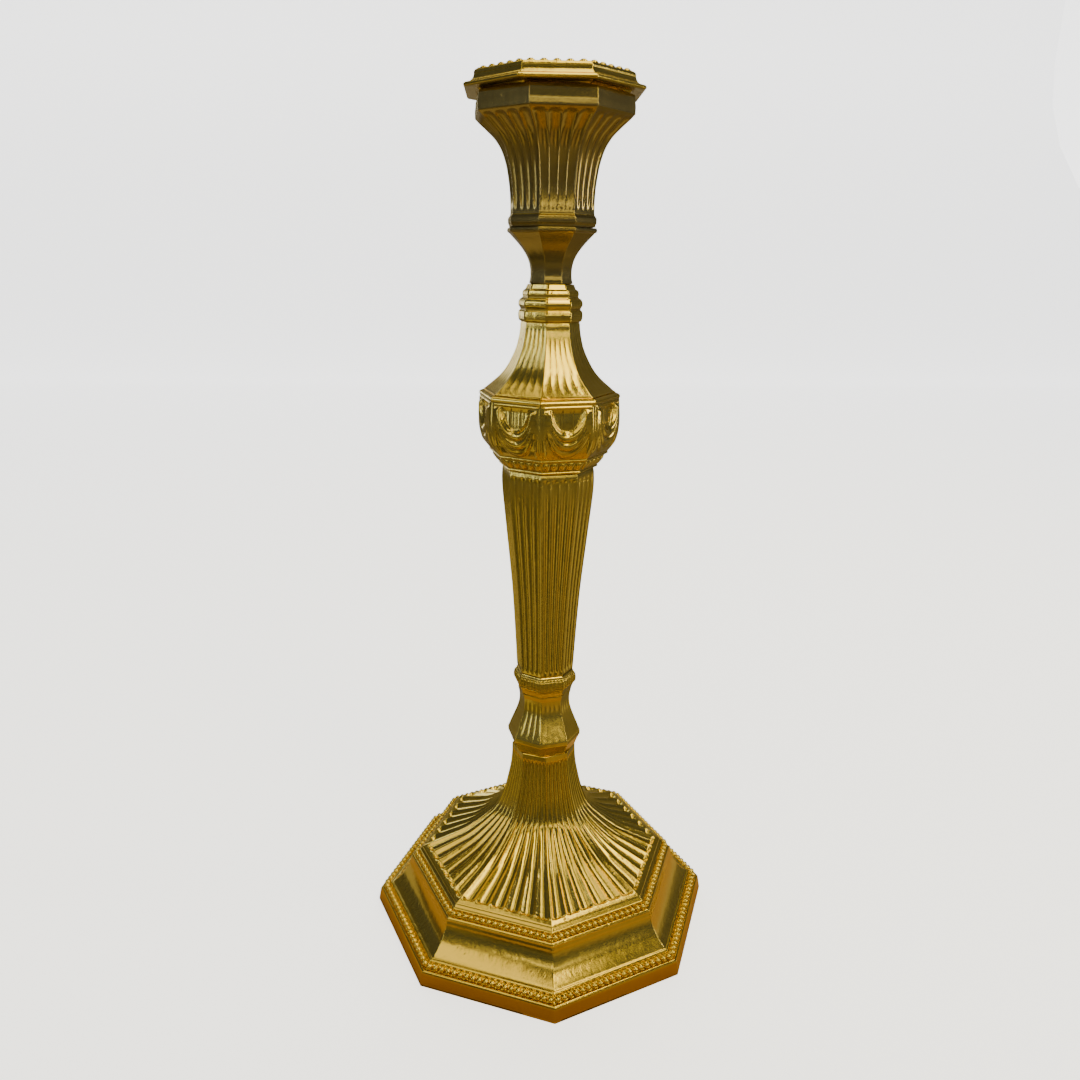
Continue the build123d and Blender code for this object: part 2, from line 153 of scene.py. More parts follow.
class Wire:
    """A socket of a node tree that takes part in arithmetic."""

    def __init__(self, maker, socket):
        self.maker = maker
        self.socket = socket

    def math(self, operation, *others, swap=False):
        values = [*others, self] if swap else [self, *others]
        return self.maker.node("ShaderNodeMath", {"operation": operation}, dict(enumerate(values)))["Value"]

    def __add__(self, other):
        return self.math("ADD", other)

    def __sub__(self, other):
        return self.math("SUBTRACT", other)

    def __rsub__(self, other):
        return self.math("SUBTRACT", other, swap=True)

    def __mul__(self, other):
        return self.math("MULTIPLY", other)

    def __truediv__(self, other):
        return self.math("DIVIDE", other)

    __radd__ = __add__
    __rmul__ = __mul__

    def clamp(self):
        """The value, kept between 0 and 1."""
        return self.math("MAXIMUM", 0.0).math("MINIMUM", 1.0)


class Maker:
    """Adds nodes to one tree."""

    def __init__(self, tree):
        self.tree = tree

    def node(self, kind, settings=None, inputs=None):
        """A new node, as a dictionary of its outputs by identifier and by name."""
        made = self.tree.nodes.new(kind)
        for name, value in (settings or {}).items():
            if name == "stops":
                set_stops(made.color_ramp, value)
            else:
                setattr(made, name, value)
        for key, value in (inputs or {}).items():
            socket = find_socket(made.inputs, key)
            if isinstance(value, Wire):
                self.tree.links.new(value.socket, socket)
            else:
                socket.default_value = value
        outputs = {output.name: Wire(self, output) for output in reversed(made.outputs)}
        outputs.update({output.identifier: Wire(self, output) for output in made.outputs})
        return outputs

    def mix(self, factor, low_colour, high_colour):
        """One colour at factor 0, the other at factor 1."""
        inputs = {"Factor_Float": factor, "A_Color": low_colour, "B_Color": high_colour}
        return self.node("ShaderNodeMix", {"data_type": "RGBA"}, inputs)["Result_Color"]


def find_socket(sockets, key):
    """A socket by its number, identifier or name."""
    if isinstance(key, int):
        return sockets[key]
    for socket in sockets:
        if key in (socket.identifier, socket.name):
            return socket
    raise KeyError(key)


def set_stops(ramp, stops):
    """Gives a colour ramp its stops: pairs of a position and a grey value."""
    while len(ramp.elements) < len(stops):
        ramp.elements.new(0.5)
    for element, (position, value) in zip(ramp.elements, stops):
        element.position = position
        element.color = (value, value, value, 1)


# %% [markdown]
# ## Brass that has been polished for years
# A polishing cloth reaches the ridges and the flat faces and leaves a browner skin in the
# hollows. The hollows also get painted shade, darkest in the deepest ones. Low faces and faces
# turned down get a painted amber reflection of the table. So the colour is mixed by how hollow
# the surface is at each point, which every casting carries as an attribute called "hollow", by
# which way the surface faces, by height and by slow noise. Inside a casting the skin is rough
# and dull, which the attribute "inside" says.

# %% Brass finishes
GOLD = (0.82, 0.63, 0.13, 1)
OLD_GOLD_AND_SHADE = (0.55, 0.41, 0.08, 1)
BROWN_SKIN_AND_SHADE = (0.17, 0.11, 0.03, 1)
AMBER_TABLE_REFLECTION = (0.48, 0.24, 0.03, 1)
CAST_SKIN = (0.28, 0.19, 0.08, 1)


def new_material(name):
    """An empty material, its maker and its shader node."""
    material = bpy.data.materials.new(name)
    material.use_nodes = True
    shader = material.node_tree.nodes["Principled BSDF"]
    return material, Maker(material.node_tree), shader


def feed(maker, shader, **wires):
    """Links wires to the shader's sockets, whose names are given with _ for a space."""
    for name, wire in wires.items():
        maker.tree.links.new(wire.socket, shader.inputs[name.replace("_", " ")])


def noise(maker, vector, scale, detail=2.0, roughness=0.5):
    """Noise between 0 and 1 at a scale in cycles a metre."""
    inputs = {"Vector": vector, "Scale": scale, "Detail": detail, "Roughness": roughness}
    return maker.node("ShaderNodeTexNoise", {}, inputs)["Fac"]


def stretched(maker, vector, scale):
    """The vector scaled by its own factor along each axis."""
    inputs = {"Vector": vector, "Scale": scale}
    return maker.node("ShaderNodeMapping", {"vector_type": "POINT"}, inputs)["Vector"]


def attribute(maker, name):
    """A number that the mesh carries at each point."""
    return maker.node("ShaderNodeAttribute", {"attribute_name": name})["Fac"]


def make_brass(name, gold=GOLD, shine=0.15, skin_and_shade_strength=1.0):
    """Polished brass: bright on its ridges, brown skin and painted shade in its hollows, a painted amber
    table reflection low down and on faces turned down, dull inside the casting.
    """
    material, maker, shader = new_material(name)
    place = maker.node("ShaderNodeTexCoord")["Object"]
    hollow = attribute(maker, "hollow")
    inside = attribute(maker, "inside")
    clouds = noise(maker, place, 28.0, 3.0)
    specks = noise(maker, place, 900.0, 2.0)
    streaks = noise(maker, stretched(maker, place, (1.0, 1.0, 0.12)), 700.0, 3.0)
    pits = noise(maker, place, 420.0, 1.0).math("SUBTRACT", 0.70).math("MAXIMUM", 0.0) * 8.0
    upward = maker.node("ShaderNodeNewGeometry")["Normal"]
    lean = maker.node("ShaderNodeSeparateXYZ", {}, {"Vector": upward})["Z"]
    height = maker.node("ShaderNodeSeparateXYZ", {}, {"Vector": place})["Z"]
    # Painted amber reflection of the table: on low faces that don't face up, and on faces turned down.
    table_reflection_low = (2.2 - height / 0.0035).clamp() * ((0.45 - lean) * 2.5).clamp()
    facing_down_reflection = ((0.0 - lean) * 0.9).clamp() * 0.6

    # Browner skin in the hollows with painted shade there too, plus random tone from the noise.
    skin_and_shade = (hollow * 1.1 + (clouds - 0.5) * 0.9 + (streaks - 0.5) * 0.3).clamp() * skin_and_shade_strength
    colour = maker.mix(skin_and_shade, gold, OLD_GOLD_AND_SHADE)
    table_reflection = facing_down_reflection.math("MAXIMUM", table_reflection_low) * (0.55 + clouds * 0.5)
    colour = maker.mix(table_reflection.clamp(), colour, AMBER_TABLE_REFLECTION)
    # Painted shade in the deepest hollows, darker brown, together with their skin.
    deep_shade_and_skin = (hollow * 1.2 - 0.5 + (clouds - 0.5) * 0.5).clamp() * skin_and_shade_strength
    colour = maker.mix(deep_shade_and_skin, colour, BROWN_SKIN_AND_SHADE)
    colour = maker.mix(inside, colour, CAST_SKIN)

    roughness = shine + (clouds - 0.3) * 0.10 + skin_and_shade * 0.12 + deep_shade_and_skin * 0.15 + inside * 0.3
    grain = noise(maker, place, 260.0, 4.0, 0.6)
    waves = noise(maker, place, 75.0, 1.0)
    relief = (specks - 0.5) * 0.08 + (streaks - 0.5) * 0.25 + (grain - 0.5) * (0.6 + inside * 5.0)
    relief = relief - pits * 0.4 + (waves - 0.5) * 0.8
    bump_inputs = {"Strength": 0.30, "Distance": 0.00035, "Height": relief}
    bump = maker.node("ShaderNodeBump", {}, bump_inputs)["Normal"]
    shader.inputs["Metallic"].default_value = 1.0
    feed(maker, shader, Base_Color=colour, Roughness=roughness, Normal=bump)
    return material


def make_steel(name):
    """Zinc-plated steel: grey, faintly mottled, with a dull shine."""
    material, maker, shader = new_material(name)
    place = maker.node("ShaderNodeTexCoord")["Object"]
    mottle = noise(maker, place, 500.0, 3.0)
    colour = maker.mix(mottle, (0.36, 0.35, 0.32, 1), (0.60, 0.60, 0.57, 1))
    shader.inputs["Metallic"].default_value = 1.0
    feed(maker, shader, Base_Color=colour, Roughness=mottle * 0.25 + 0.28)
    return material


cast_brass = make_brass("cast_brass")
cup_brass = make_brass("cup_brass", gold=(0.43, 0.34, 0.12, 1), shine=0.19, skin_and_shade_strength=1.1)
drawn_brass = make_brass("drawn_brass", gold=(0.78, 0.60, 0.22, 1), shine=0.24, skin_and_shade_strength=0.5)
zinc_steel = make_steel("zinc_steel")
print("finishes:", [material.name for material in bpy.data.materials])

# %% [markdown]
# ## Drawing a moulding's outline
# A moulding is drawn as half widths over the flats against heights. Curves pass smoothly
# through a few chosen points, and every crease gets a small round, because a casting has no
# knife edges and the thin highlight on a round edge is what makes metal look real.

# %% Outline helpers


def curve(*points, steps=6):
    """Points along a smooth curve through the given ones."""
    given = np.array(points, float)
    ends = np.vstack([2 * given[0] - given[1], given, 2 * given[-1] - given[-2]])
    found = []
    for before, start, stop, after in zip(ends, ends[1:], ends[2:], ends[3:]):
        for t in np.arange(steps) / steps:
            bend = (2 * before - 5 * start + 4 * stop - after) * t**2
            twist = (3 * start - before - 3 * stop + after) * t**3
            found.append(0.5 * (2 * start + (stop - before) * t + bend + twist))
    return [*found, given[-1]]


def soften(points, radius, steps=3, least_turn=0.25):
    """The outline with a small round of about that radius at every crease."""
    path = np.array(points, float)
    found = [path[0]]
    for before, here, after in zip(path, path[1:], path[2:]):
        back, on = before - here, after - here
        back_length, on_length = np.hypot(*back), np.hypot(*on)
        turn = math.pi - math.acos(np.clip(back @ on / (back_length * on_length), -1, 1))
        if turn < least_turn:
            found.append(here)
            continue
        reach = min(radius, 0.45 * back_length, 0.45 * on_length)
        start = here + back / back_length * reach
        stop = here + on / on_length * reach
        for t in np.arange(steps + 1) / steps:
            found.append((1 - t) ** 2 * start + 2 * t * (1 - t) * here + t**2 * stop)
    return [*found, path[-1]]


def dense(points, step):
    """The outline with no stretch longer than the step."""
    path = np.array(points, float)
    found = [path[0]]
    for start, stop in zip(path, path[1:]):
        count = max(1, math.ceil(np.hypot(*(stop - start)) / step))
        found += [start + (stop - start) * (index + 1) / count for index in range(count)]
    return np.array(found)


# %% [markdown]
# ## Sweeping an outline round the octagon
# Every level of a casting is an octagon with slightly rounded corners. The samples across a
# side are packed towards the ridges between the flutes, so a ridge always lies on a row of
# points and stays sharp. The outline runs up the outside and down the inside, so the mesh is
# closed, with a real wall. Each point keeps what the flutes need: how far across its side it
# is, how far from the ends of the fluted stretch, and which way is out.

# %% Casting mesh


def around(sides, flutes, samples, corner_steps=3):
    """The samples round one level: side number, place across it from -1 to 1, corner angle."""
    step = np.arange(samples) / samples * 2 - 1
    packed = np.sin(step * math.pi / 2)
    across = np.concatenate([(2 * flute + 1 + packed) / flutes - 1 for flute in range(flutes)] + [[1.0]])
    corner = (np.arange(corner_steps) + 1) / (corner_steps + 1) * 2 * math.pi / sides
    rows = []
    for side in range(sides):
        rows += [(side, place, 0.0) for place in across]
        rows += [(side, 1.0, angle) for angle in corner]
    return np.array(rows)


def level_points(rows, half, corner_radius, sides, turn, roundness):
    """Points of one level in plan, and the way out at each."""
    half_step = math.pi / sides
    middle = math.radians(turn) - math.pi / 2 + half_step + rows[:, 0] * 2 * half_step
    radius = min(corner_radius, 0.6 * half)
    tangent = (half - radius) * math.tan(half_step)
    normal = np.stack([np.cos(middle), np.sin(middle)], 1)
    side_way = np.stack([-np.sin(middle), np.cos(middle)], 1)
    out_angle = middle + rows[:, 2]
    out = np.stack([np.cos(out_angle), np.sin(out_angle)], 1)
    flat = normal * (half - radius) + side_way * (rows[:, 1] * tangent)[:, None] + out * radius
    direction = np.arctan2(flat[:, 1], flat[:, 0])
    circle = np.stack([np.cos(direction), np.sin(direction)], 1)
    plan = flat * (1 - roundness) + circle * half * roundness
    way = out * (1 - roundness) + circle * roundness
    return plan, way / np.linalg.norm(way, axis=1)[:, None]


def outward(path):
    """The way out of the outline at each of its points, for an outline that runs upwards."""
    along = np.gradient(path, axis=0)
    along /= np.maximum(np.linalg.norm(along, axis=1), 1e-9)[:, None]
    return np.stack([along[:, 1], -along[:, 0]], 1)


def end_distances(path, stretches):
    """Distances of each point to the low and high end of its fluted stretch, and 0 outside them."""
    length = np.concatenate([[0], np.cumsum(np.hypot(*np.diff(path, axis=0).T))])
    found = np.zeros((2, len(path)))
    for bottom, top in stretches:
        rows = np.where((path[:, 1] >= bottom) & (path[:, 1] <= top))[0]
        found[0, rows] = length[rows] - length[rows[0]]
        found[1, rows] = length[rows[-1]] - length[rows]
    return found


def cast(name, outer, inner, turn=0.0, sides=8, flutes=4, samples=8, corner=0.4, stretches=(),
         relief=None, outer_round=0.0, step=0.8, material=None):
    """A closed casting from its outline outside (upwards) and inside (downwards).

    The points inside carry a third number, 1 where the hole is round. The relief is a function
    of place across the side, height and half width, and gives millimetres outwards.
    """
    rows = around(sides, flutes, samples)
    outer = dense(outer, step)
    inner = np.array(inner, float)
    path = np.vstack([outer, inner[:, :2]])
    roundness = np.concatenate([np.full(len(outer), outer_round), inner[:, 2]])
    is_inner = np.concatenate([np.zeros(len(outer)), np.ones(len(inner))])
    lean = np.vstack([outward(outer), np.tile([-1.0, 0.0], (len(inner), 1))])
    ends = np.hstack([end_distances(outer, stretches), np.zeros((2, len(inner)))])
    count, levels = len(rows), len(path)
    points = np.zeros((levels, count, 3))
    push = np.zeros((levels, count, 3))
    for level, (half, height) in enumerate(path):
        plan, way = level_points(rows, half, corner, sides, turn, roundness[level])
        points[level, :, :2] = plan
        points[level, :, 2] = height
        push[level, :, :2] = way * lean[level, 0]
        push[level, :, 2] = lean[level, 1]
        if relief and not is_inner[level]:
            flat = (rows[:, 2] == 0)
            amount = relief(rows[:, 1], height, half) * flat
            points[level] += push[level] * amount[:, None]
    index = np.arange(levels * count).reshape(levels, count)
    down, left = np.roll(index, -1, axis=0), np.roll(index, -1, axis=1)
    both = np.roll(down, -1, axis=1)
    faces = np.stack([index, left, both, down], -1).reshape(-1, 4)
    mesh = bpy.data.meshes.new(name)
    mesh.from_pydata((points.reshape(-1, 3) * MM).tolist(), [], faces.tolist())
    half_flute = np.repeat(path[:, 0] * math.tan(math.pi / sides) / flutes, count)
    numbers = {
        "across": np.tile(rows[:, 1], levels),
        "from_low": np.repeat(ends[0], count),
        "from_high": np.repeat(ends[1], count),
        "half_flute": half_flute,
        "inside": np.repeat(is_inner, count),
    }
    for key, values in numbers.items():
        mesh.attributes.new(key, "FLOAT", "POINT").data.foreach_set("value", values.astype(np.float32))
    pushes = mesh.attributes.new("push", "FLOAT_VECTOR", "POINT")
    pushes.data.foreach_set("vector", push.reshape(-1).astype(np.float32))
    mesh.materials.append(material or cast_brass)
    piece = add_object(name, mesh)
    return piece


# %% [markdown]
# ## Flutes by Geometry Nodes
# A flute is a round-bottomed groove with a round end. Its depth follows one rule: full in the
# middle of the flute, nothing at its ridges and past its ends, and always in proportion to
# its width, so flutes that fan out over the foot also grow deeper. One node tree cuts them on
# every casting. Its inputs say how many there are on a side, how deep they are and how long
# their round ends are.

# %% Fluting tree


def new_tree(name, inputs):
    """A Geometry Nodes tree with named inputs: its maker, its input wires and its output node."""
    tree = bpy.data.node_groups.new(name, "GeometryNodeTree")
    tree.interface.new_socket("Geometry", in_out="OUTPUT", socket_type="NodeSocketGeometry")
    for label, kind in inputs.items():
        tree.interface.new_socket(label, in_out="INPUT", socket_type="NodeSocket" + kind)
    maker = Maker(tree)
    given = maker.node("NodeGroupInput")
    return maker, given, tree.nodes.new("NodeGroupOutput")


def close_tree(maker, group_output, geometry, given):
    """Ends a tree with Realize Instances and Set Material."""
    real = maker.node("GeometryNodeRealizeInstances", {}, {"Geometry": geometry})["Geometry"]
    painted = maker.node("GeometryNodeSetMaterial", {}, {"Geometry": real, "Material": given["Material"]})
    maker.tree.links.new(painted["Geometry"].socket, group_output.inputs[0])
    return maker.tree


def named(maker, name, kind="FLOAT"):
    """An attribute that the geometry carries."""
    return maker.node("GeometryNodeInputNamedAttribute", {"data_type": kind}, {"Name": name})["Attribute"]


def make_fluting():
    """Cuts flutes along a casting's sides."""
    inputs = {"Geometry": "Geometry", "Flutes per side": "Float", "Depth": "Float", "Fullness": "Float",
              "Low tip": "Float", "High tip": "Float", "Material": "Material"}
    maker, given, group_output = new_tree("fluting", inputs)
    place = (named(maker, "across") + 1.0) * 0.5 * given["Flutes per side"]
    from_middle = place.math("FRACT") * 2.0 - 1.0
    half_flute = named(maker, "half_flute")
    low_end = (1.0 - named(maker, "from_low") / (half_flute * given["Low tip"])).math("MAXIMUM", 0.0)
    high_end = (1.0 - named(maker, "from_high") / (half_flute * given["High tip"])).math("MAXIMUM", 0.0)
    ends = low_end * low_end + high_end * high_end
    open_part = (1.0 - from_middle * from_middle - ends).math("MAXIMUM", 0.0)
    shape = open_part.math("POWER", given["Fullness"])
    depth = shape * given["Depth"] * half_flute * 2.0 * MM
    push = named(maker, "push", "FLOAT_VECTOR")
    inward = {"Vector": push, "Scale": 0.0 - depth}
    offset = maker.node("ShaderNodeVectorMath", {"operation": "SCALE"}, inward)["Vector"]
    pushed = {"Geometry": given["Geometry"], "Offset": offset}
    moved = maker.node("GeometryNodeSetPosition", {}, pushed)
    return close_tree(maker, group_output, moved["Geometry"], given)


def plain_mesh(piece, tree, values):
    """Runs a tree on a piece with these inputs, and keeps the result as a plain mesh."""
    modifier = piece.modifiers.new(tree.name, "NODES")
    modifier.node_group = tree
    for item in tree.interface.items_tree:
        if item.in_out == "INPUT" and item.name in values:
            modifier[item.identifier] = values[item.name]
    graph = bpy.context.evaluated_depsgraph_get()
    result = bpy.data.meshes.new_from_object(piece.evaluated_get(graph), depsgraph=graph)
    piece.modifiers.remove(modifier)
    piece.data = result
    return piece


fluting = make_fluting()


def flute(piece, per_side, depth, fullness=0.75, tips=(1.0, 1.0), material=None):
    """Cuts the flutes of a casting. The tips are the lengths of their round ends, in half flutes."""
    values = {"Flutes per side": float(per_side), "Depth": depth, "Fullness": fullness, "Low tip": tips[0],
              "High tip": tips[1], "Material": material or cast_brass}
    return plain_mesh(piece, fluting, values)


# %% [markdown]
# ## Finishing a piece
# After its shape is made, a piece is cleaned, its hollows are measured for the brass's skin and
# painted shade, and it is given to the body it moves with. The hollow at a point is how far its
# neighbours stand above it, so ridges come out at 0 and the bottoms of grooves near 1.

# %% Finish helper
HOLLOW_FULL = 0.5  # bend at which the skin and painted shade are darkest, per millimetre


def clean(mesh):
    """Merges doubles, turns faces outwards and shades smooth, except over real creases."""
    work = bmesh.new()
    work.from_mesh(mesh)
    bmesh.ops.remove_doubles(work, verts=work.verts, dist=1e-7)
    bmesh.ops.dissolve_degenerate(work, edges=work.edges, dist=1e-8)
    bmesh.ops.recalc_face_normals(work, faces=work.faces)
    work.to_mesh(mesh)
    work.free()
    mesh.shade_smooth()
    mesh.set_sharp_from_angle(angle=math.radians(38))


def neighbour_mean(values, edges):
    """Mean of each point's neighbours."""
    total = np.zeros_like(values)
    count = np.zeros(len(values))
    for one, other in ((0, 1), (1, 0)):
        np.add.at(total, edges[:, one], values[edges[:, other]])
        np.add.at(count, edges[:, one], 1)
    return total / np.maximum(count, 1).reshape((-1,) + (1,) * (values.ndim - 1))


def measure_hollow(mesh, spread=3):
    """Stores how hollow the surface is at each point, from 0 to 1."""
    points = np.zeros(len(mesh.vertices) * 3)
    mesh.vertices.foreach_get("co", points)
    points = points.reshape(-1, 3) / MM
    normals = np.zeros(len(mesh.vertices) * 3)
    mesh.vertex_normals.foreach_get("vector", normals)
    normals = normals.reshape(-1, 3)
    edges = np.zeros(len(mesh.edges) * 2, int)
    mesh.edges.foreach_get("vertices", edges)
    edges = edges.reshape(-1, 2)
    length = np.linalg.norm(points[edges[:, 0]] - points[edges[:, 1]], axis=1)
    total = np.zeros(len(points))
    count = np.zeros(len(points))
    for one in (0, 1):
        here, there = edges[:, one], edges[:, 1 - one]
        rise = ((points[there] - points[here]) * normals[here]).sum(1) / np.maximum(length, 0.02) ** 2
        np.add.at(total, here, np.clip(rise, -4, 4))
        np.add.at(count, here, 1)
    hollow = total / np.maximum(count, 1)
    for _ in range(spread):
        hollow = 0.5 * hollow + 0.5 * neighbour_mean(hollow, edges)
    hollow = np.clip(hollow / HOLLOW_FULL, 0, 1)
    layer = mesh.attributes.get("hollow") or mesh.attributes.new("hollow", "FLOAT", "POINT")
    layer.data.foreach_set("value", hollow.astype(np.float32))
    return hollow


def finish(piece, body, slot, *nodes):
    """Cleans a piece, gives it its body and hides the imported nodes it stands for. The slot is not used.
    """
    clean(piece.data)
    hollow = measure_hollow(piece.data)
    for spare in ("across", "from_low", "from_high", "half_flute", "push"):
        if spare in piece.data.attributes:
            piece.data.attributes.remove(piece.data.attributes[spare])
    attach(piece, body)
    if nodes:
        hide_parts(*nodes)
    print(f"{piece.name}: {len(piece.data.polygons)} faces, mean hollow {hollow.mean():.2f}")
    return piece


# %% [markdown]
# ## Bead rows
# A pearl moulding is a row of little half balls in a channel between two fine fillets. A tree
# places the points by a rule: so many beads on each side, the first and last half a step from
# the corner. Each bead is an instance until the tree realizes them.

# %% Bead tree


def make_bead_row():
    """Beads along the eight sides at one level."""
    inputs = {"Half width": "Float", "Height": "Float", "Per side": "Int", "Radius": "Float",
              "Turn": "Float", "Length": "Float", "Lean": "Float", "Material": "Material"}
    maker, given, group_output = new_tree("bead_row", inputs)
    count = given["Per side"] * 8.0
    line = maker.node("GeometryNodeMeshLine", {}, {"Count": count})["Mesh"]
    number = maker.node("GeometryNodeInputIndex")["Index"]
    side = (number / given["Per side"] + 0.001).math("FLOOR")
    place = number - side * given["Per side"]
    across = ((place + 0.5) / given["Per side"] * 2.0 - 1.0) * given["Half width"] * math.tan(HALF_STEP)
    angle = side * (2 * HALF_STEP) + given["Turn"] + (HALF_STEP - math.pi / 2)
    cosine, sine = angle.math("COSINE"), angle.math("SINE")
    parts = {
        "X": given["Half width"] * cosine - across * sine,
        "Y": given["Half width"] * sine + across * cosine,
        "Z": given["Height"],
    }
    position = maker.node("ShaderNodeCombineXYZ", {}, parts)["Vector"]
    spots = maker.node("GeometryNodeSetPosition", {}, {"Geometry": line, "Position": position})["Geometry"]
    ball_inputs = {"Segments": 14, "Rings": 9, "Radius": given["Radius"]}
    ball = maker.node("GeometryNodeMeshUVSphere", {}, ball_inputs)["Mesh"]
    smooth = maker.node("GeometryNodeSetShadeSmooth", {}, {"Geometry": ball})["Geometry"]
    size = maker.node("ShaderNodeCombineXYZ", {}, {"X": 1.0, "Y": given["Length"], "Z": 1.0})["Vector"]
    turn = {"X": given["Lean"], "Z": angle + math.pi / 2}
    turned = maker.node("ShaderNodeCombineXYZ", {}, turn)["Vector"]
    joined = {"Points": spots, "Instance": smooth, "Scale": size, "Rotation": turned}
    beads = maker.node("GeometryNodeInstanceOnPoints", {}, joined)["Instances"]
    return close_tree(maker, group_output, beads, given)


bead_row = make_bead_row()


def beads(name, half, height, per_side, radius, turn=0.0, length=1.0, lean=0.0, material=None):
    """A row of beads as a plain mesh. Long beads lie up the slope of their band, which leans in."""
    piece = add_object(name, bpy.data.meshes.new(name))
    values = {"Half width": half * MM, "Height": height * MM, "Per side": per_side,
              "Radius": radius * MM, "Turn": math.radians(turn), "Length": length, "Lean": lean,
              "Material": material or cast_brass}
    return plain_mesh(piece, bead_row, values)


# %% [markdown]
# ## The foot
# The widest casting: a plinth, a beaded step, a hollow moulding, a second beaded step and a
# dome whose flutes fan out from the neck. Each beaded step is a sloping band, so its fillets
# and channel are given as shares of the way up the band and distances out of it. The dome
# follows one smooth curve, and the fluting tree does the rest.

# %% Foot casting
DOME_EDGE = (42.3, 24.85)
DOME_FLUTES = 6


def band_point(band, share, out):
    """A point at a share of the way up a sloping band, and so many millimetres out of it."""
    start, stop = np.array(band[0]), np.array(band[1])
    along = stop - start
    way_out = np.array([along[1], -along[0]]) / np.hypot(*along)
    return tuple(start + along * share + way_out * out)


def band_lean(band):
    """How far a band leans in from the level, in radians."""
    (half, height), (next_half, next_height) = band
    return math.atan2(next_height - height, half - next_half)


LOWER_BAND = ((58.9, 5.6), (54.6, 8.3))
UPPER_BAND = ((47.3, 20.1), (43.0, 24.4))
lower_marks = [(-0.02, 0.0), (0.02, 0.16), (0.12, 0.16), (0.17, -0.1), (0.24, -0.42), (0.68, -0.42),
               (0.76, -0.05), (0.82, 0.2), (0.92, 0.2), (0.97, 0.0), (1.05, -0.1)]
upper_marks = [(-0.02, 0.0), (0.02, 0.16), (0.10, 0.16), (0.15, -0.1), (0.20, -0.40), (0.50, -0.40),
               (0.56, 0.0), (0.60, 0.18), (0.65, 0.18), (0.69, 0.0), (0.88, 0.0), (0.92, 0.12),
               (0.98, 0.12), (1.04, 0.0)]
foot_outer = [
    (FOOT_HALF - 0.25, 0.0), (FOOT_HALF, 0.3), (59.15, 5.2),
    *[band_point(LOWER_BAND, *mark) for mark in lower_marks],
    *curve((53.6, 8.9), (52.2, 10.3), (50.6, 12.3), (49.2, 14.7), (48.2, 17.0), (47.8, 18.6)),
    (47.6, 19.2), (47.5, 19.9),
    *[band_point(UPPER_BAND, *mark) for mark in upper_marks],
    DOME_EDGE,
    *curve(DOME_EDGE, (35.6, 28.0), (27.9, 32.0), (20.9, 37.7), (16.5, 42.7), (13.9, 49.5), (12.5, 55.5),
           (11.5, 61.0), (11.1, 66.0), (11.05, FOOT_TOP - 0.3))[1:],
    (10.85, FOOT_TOP - 0.05),
]
WEB_LOW = 61.0
foot_inner = [
    (5.2, FOOT_TOP - 0.1, 1), (5.1, FOOT_TOP - 1.7, 1), (ROD_HOLE, FOOT_TOP - 1.7, 1),
    (ROD_HOLE, WEB_LOW, 1), (8.7, WEB_LOW, 0.6), (9.9, 53.0, 0.6), (11.2, 47.5, 0.5),
    (13.0, 43.2, 0.4), (17.5, 36.5, 0.2), (23.2, 30.6, 0.1), (31.5, 25.6, 0), (41.0, 21.9, 0),
    (44.2, 19.4, 0), (45.4, 15.2, 0), (47.4, 11.4, 0), (50.0, 8.0, 0), (51.6, 6.4, 0),
    (55.4, 4.4, 0), (56.4, 3.6, 0), (56.6, 0.25, 0), (56.9, 0.0, 0),
]
foot = cast("foot_casting", soften(foot_outer, 0.3), foot_inner, flutes=DOME_FLUTES, corner=0.5, step=0.6,
            stretches=[(DOME_EDGE[1] + 0.05, 67.2)])
foot = flute(foot, DOME_FLUTES, 0.25, fullness=1.2, tips=(0.4, 1.5))
finish(foot, "stick", "cast_brass", "base")
for label, band, share, per_side, radius, length in (
        ("lower", LOWER_BAND, 0.46, 20, 1.10, 1.25), ("upper", UPPER_BAND, 0.35, 17, 1.07, 1.05)):
    half, height = band_point(band, share, 0.05)
    row = beads(f"foot_beads_{label}", half, height, per_side, radius, length=length, lean=-band_lean(band))
    finish(row, "stick", "cast_brass")

# %% [markdown]
# ## The knop and the milled ring
# The knop flares out to a sharp rim and tapers back below it. It has shallow flutes above and
# below the rim. The ring over it is milled: its notches are the same flutes, only shorter.

# %% Knop and ring castings
knop_outer = [
    (10.85, FOOT_TOP + 0.05), (11.1, FOOT_TOP + 0.3),
    *curve((11.2, 70.3), (11.7, 71.7), (12.35, 73.3)),
    (12.6, 73.9), (12.65, 75.3),
    *curve((12.4, 76.0), (11.4, 78.7), (10.3, 81.6), (9.35, 84.3), (8.8, 86.6), (8.65, 88.8), (8.8, 90.6)),
    (9.15, KNOP_TOP - 0.3), (9.1, KNOP_TOP - 0.05),
]
knop_inner = [
    (5.2, KNOP_TOP, 1), (5.1, KNOP_TOP - 1.7, 1), (ROD_HOLE, KNOP_TOP - 1.7, 1),
    (ROD_HOLE, FOOT_TOP - 1.6, 1),
    (5.0, FOOT_TOP - 1.6, 1), (5.0, FOOT_TOP + 0.1, 1),
]
knop = cast("knop_casting", soften(knop_outer, 0.25), knop_inner, TURNS["knop"], step=0.4,
            stretches=[(70.1, 73.8), (75.5, 90.0)])
knop = flute(knop, 4, 0.03, fullness=1.0, tips=(4.0, 5.0))
finish(knop, "stick", "cast_brass", "knop")

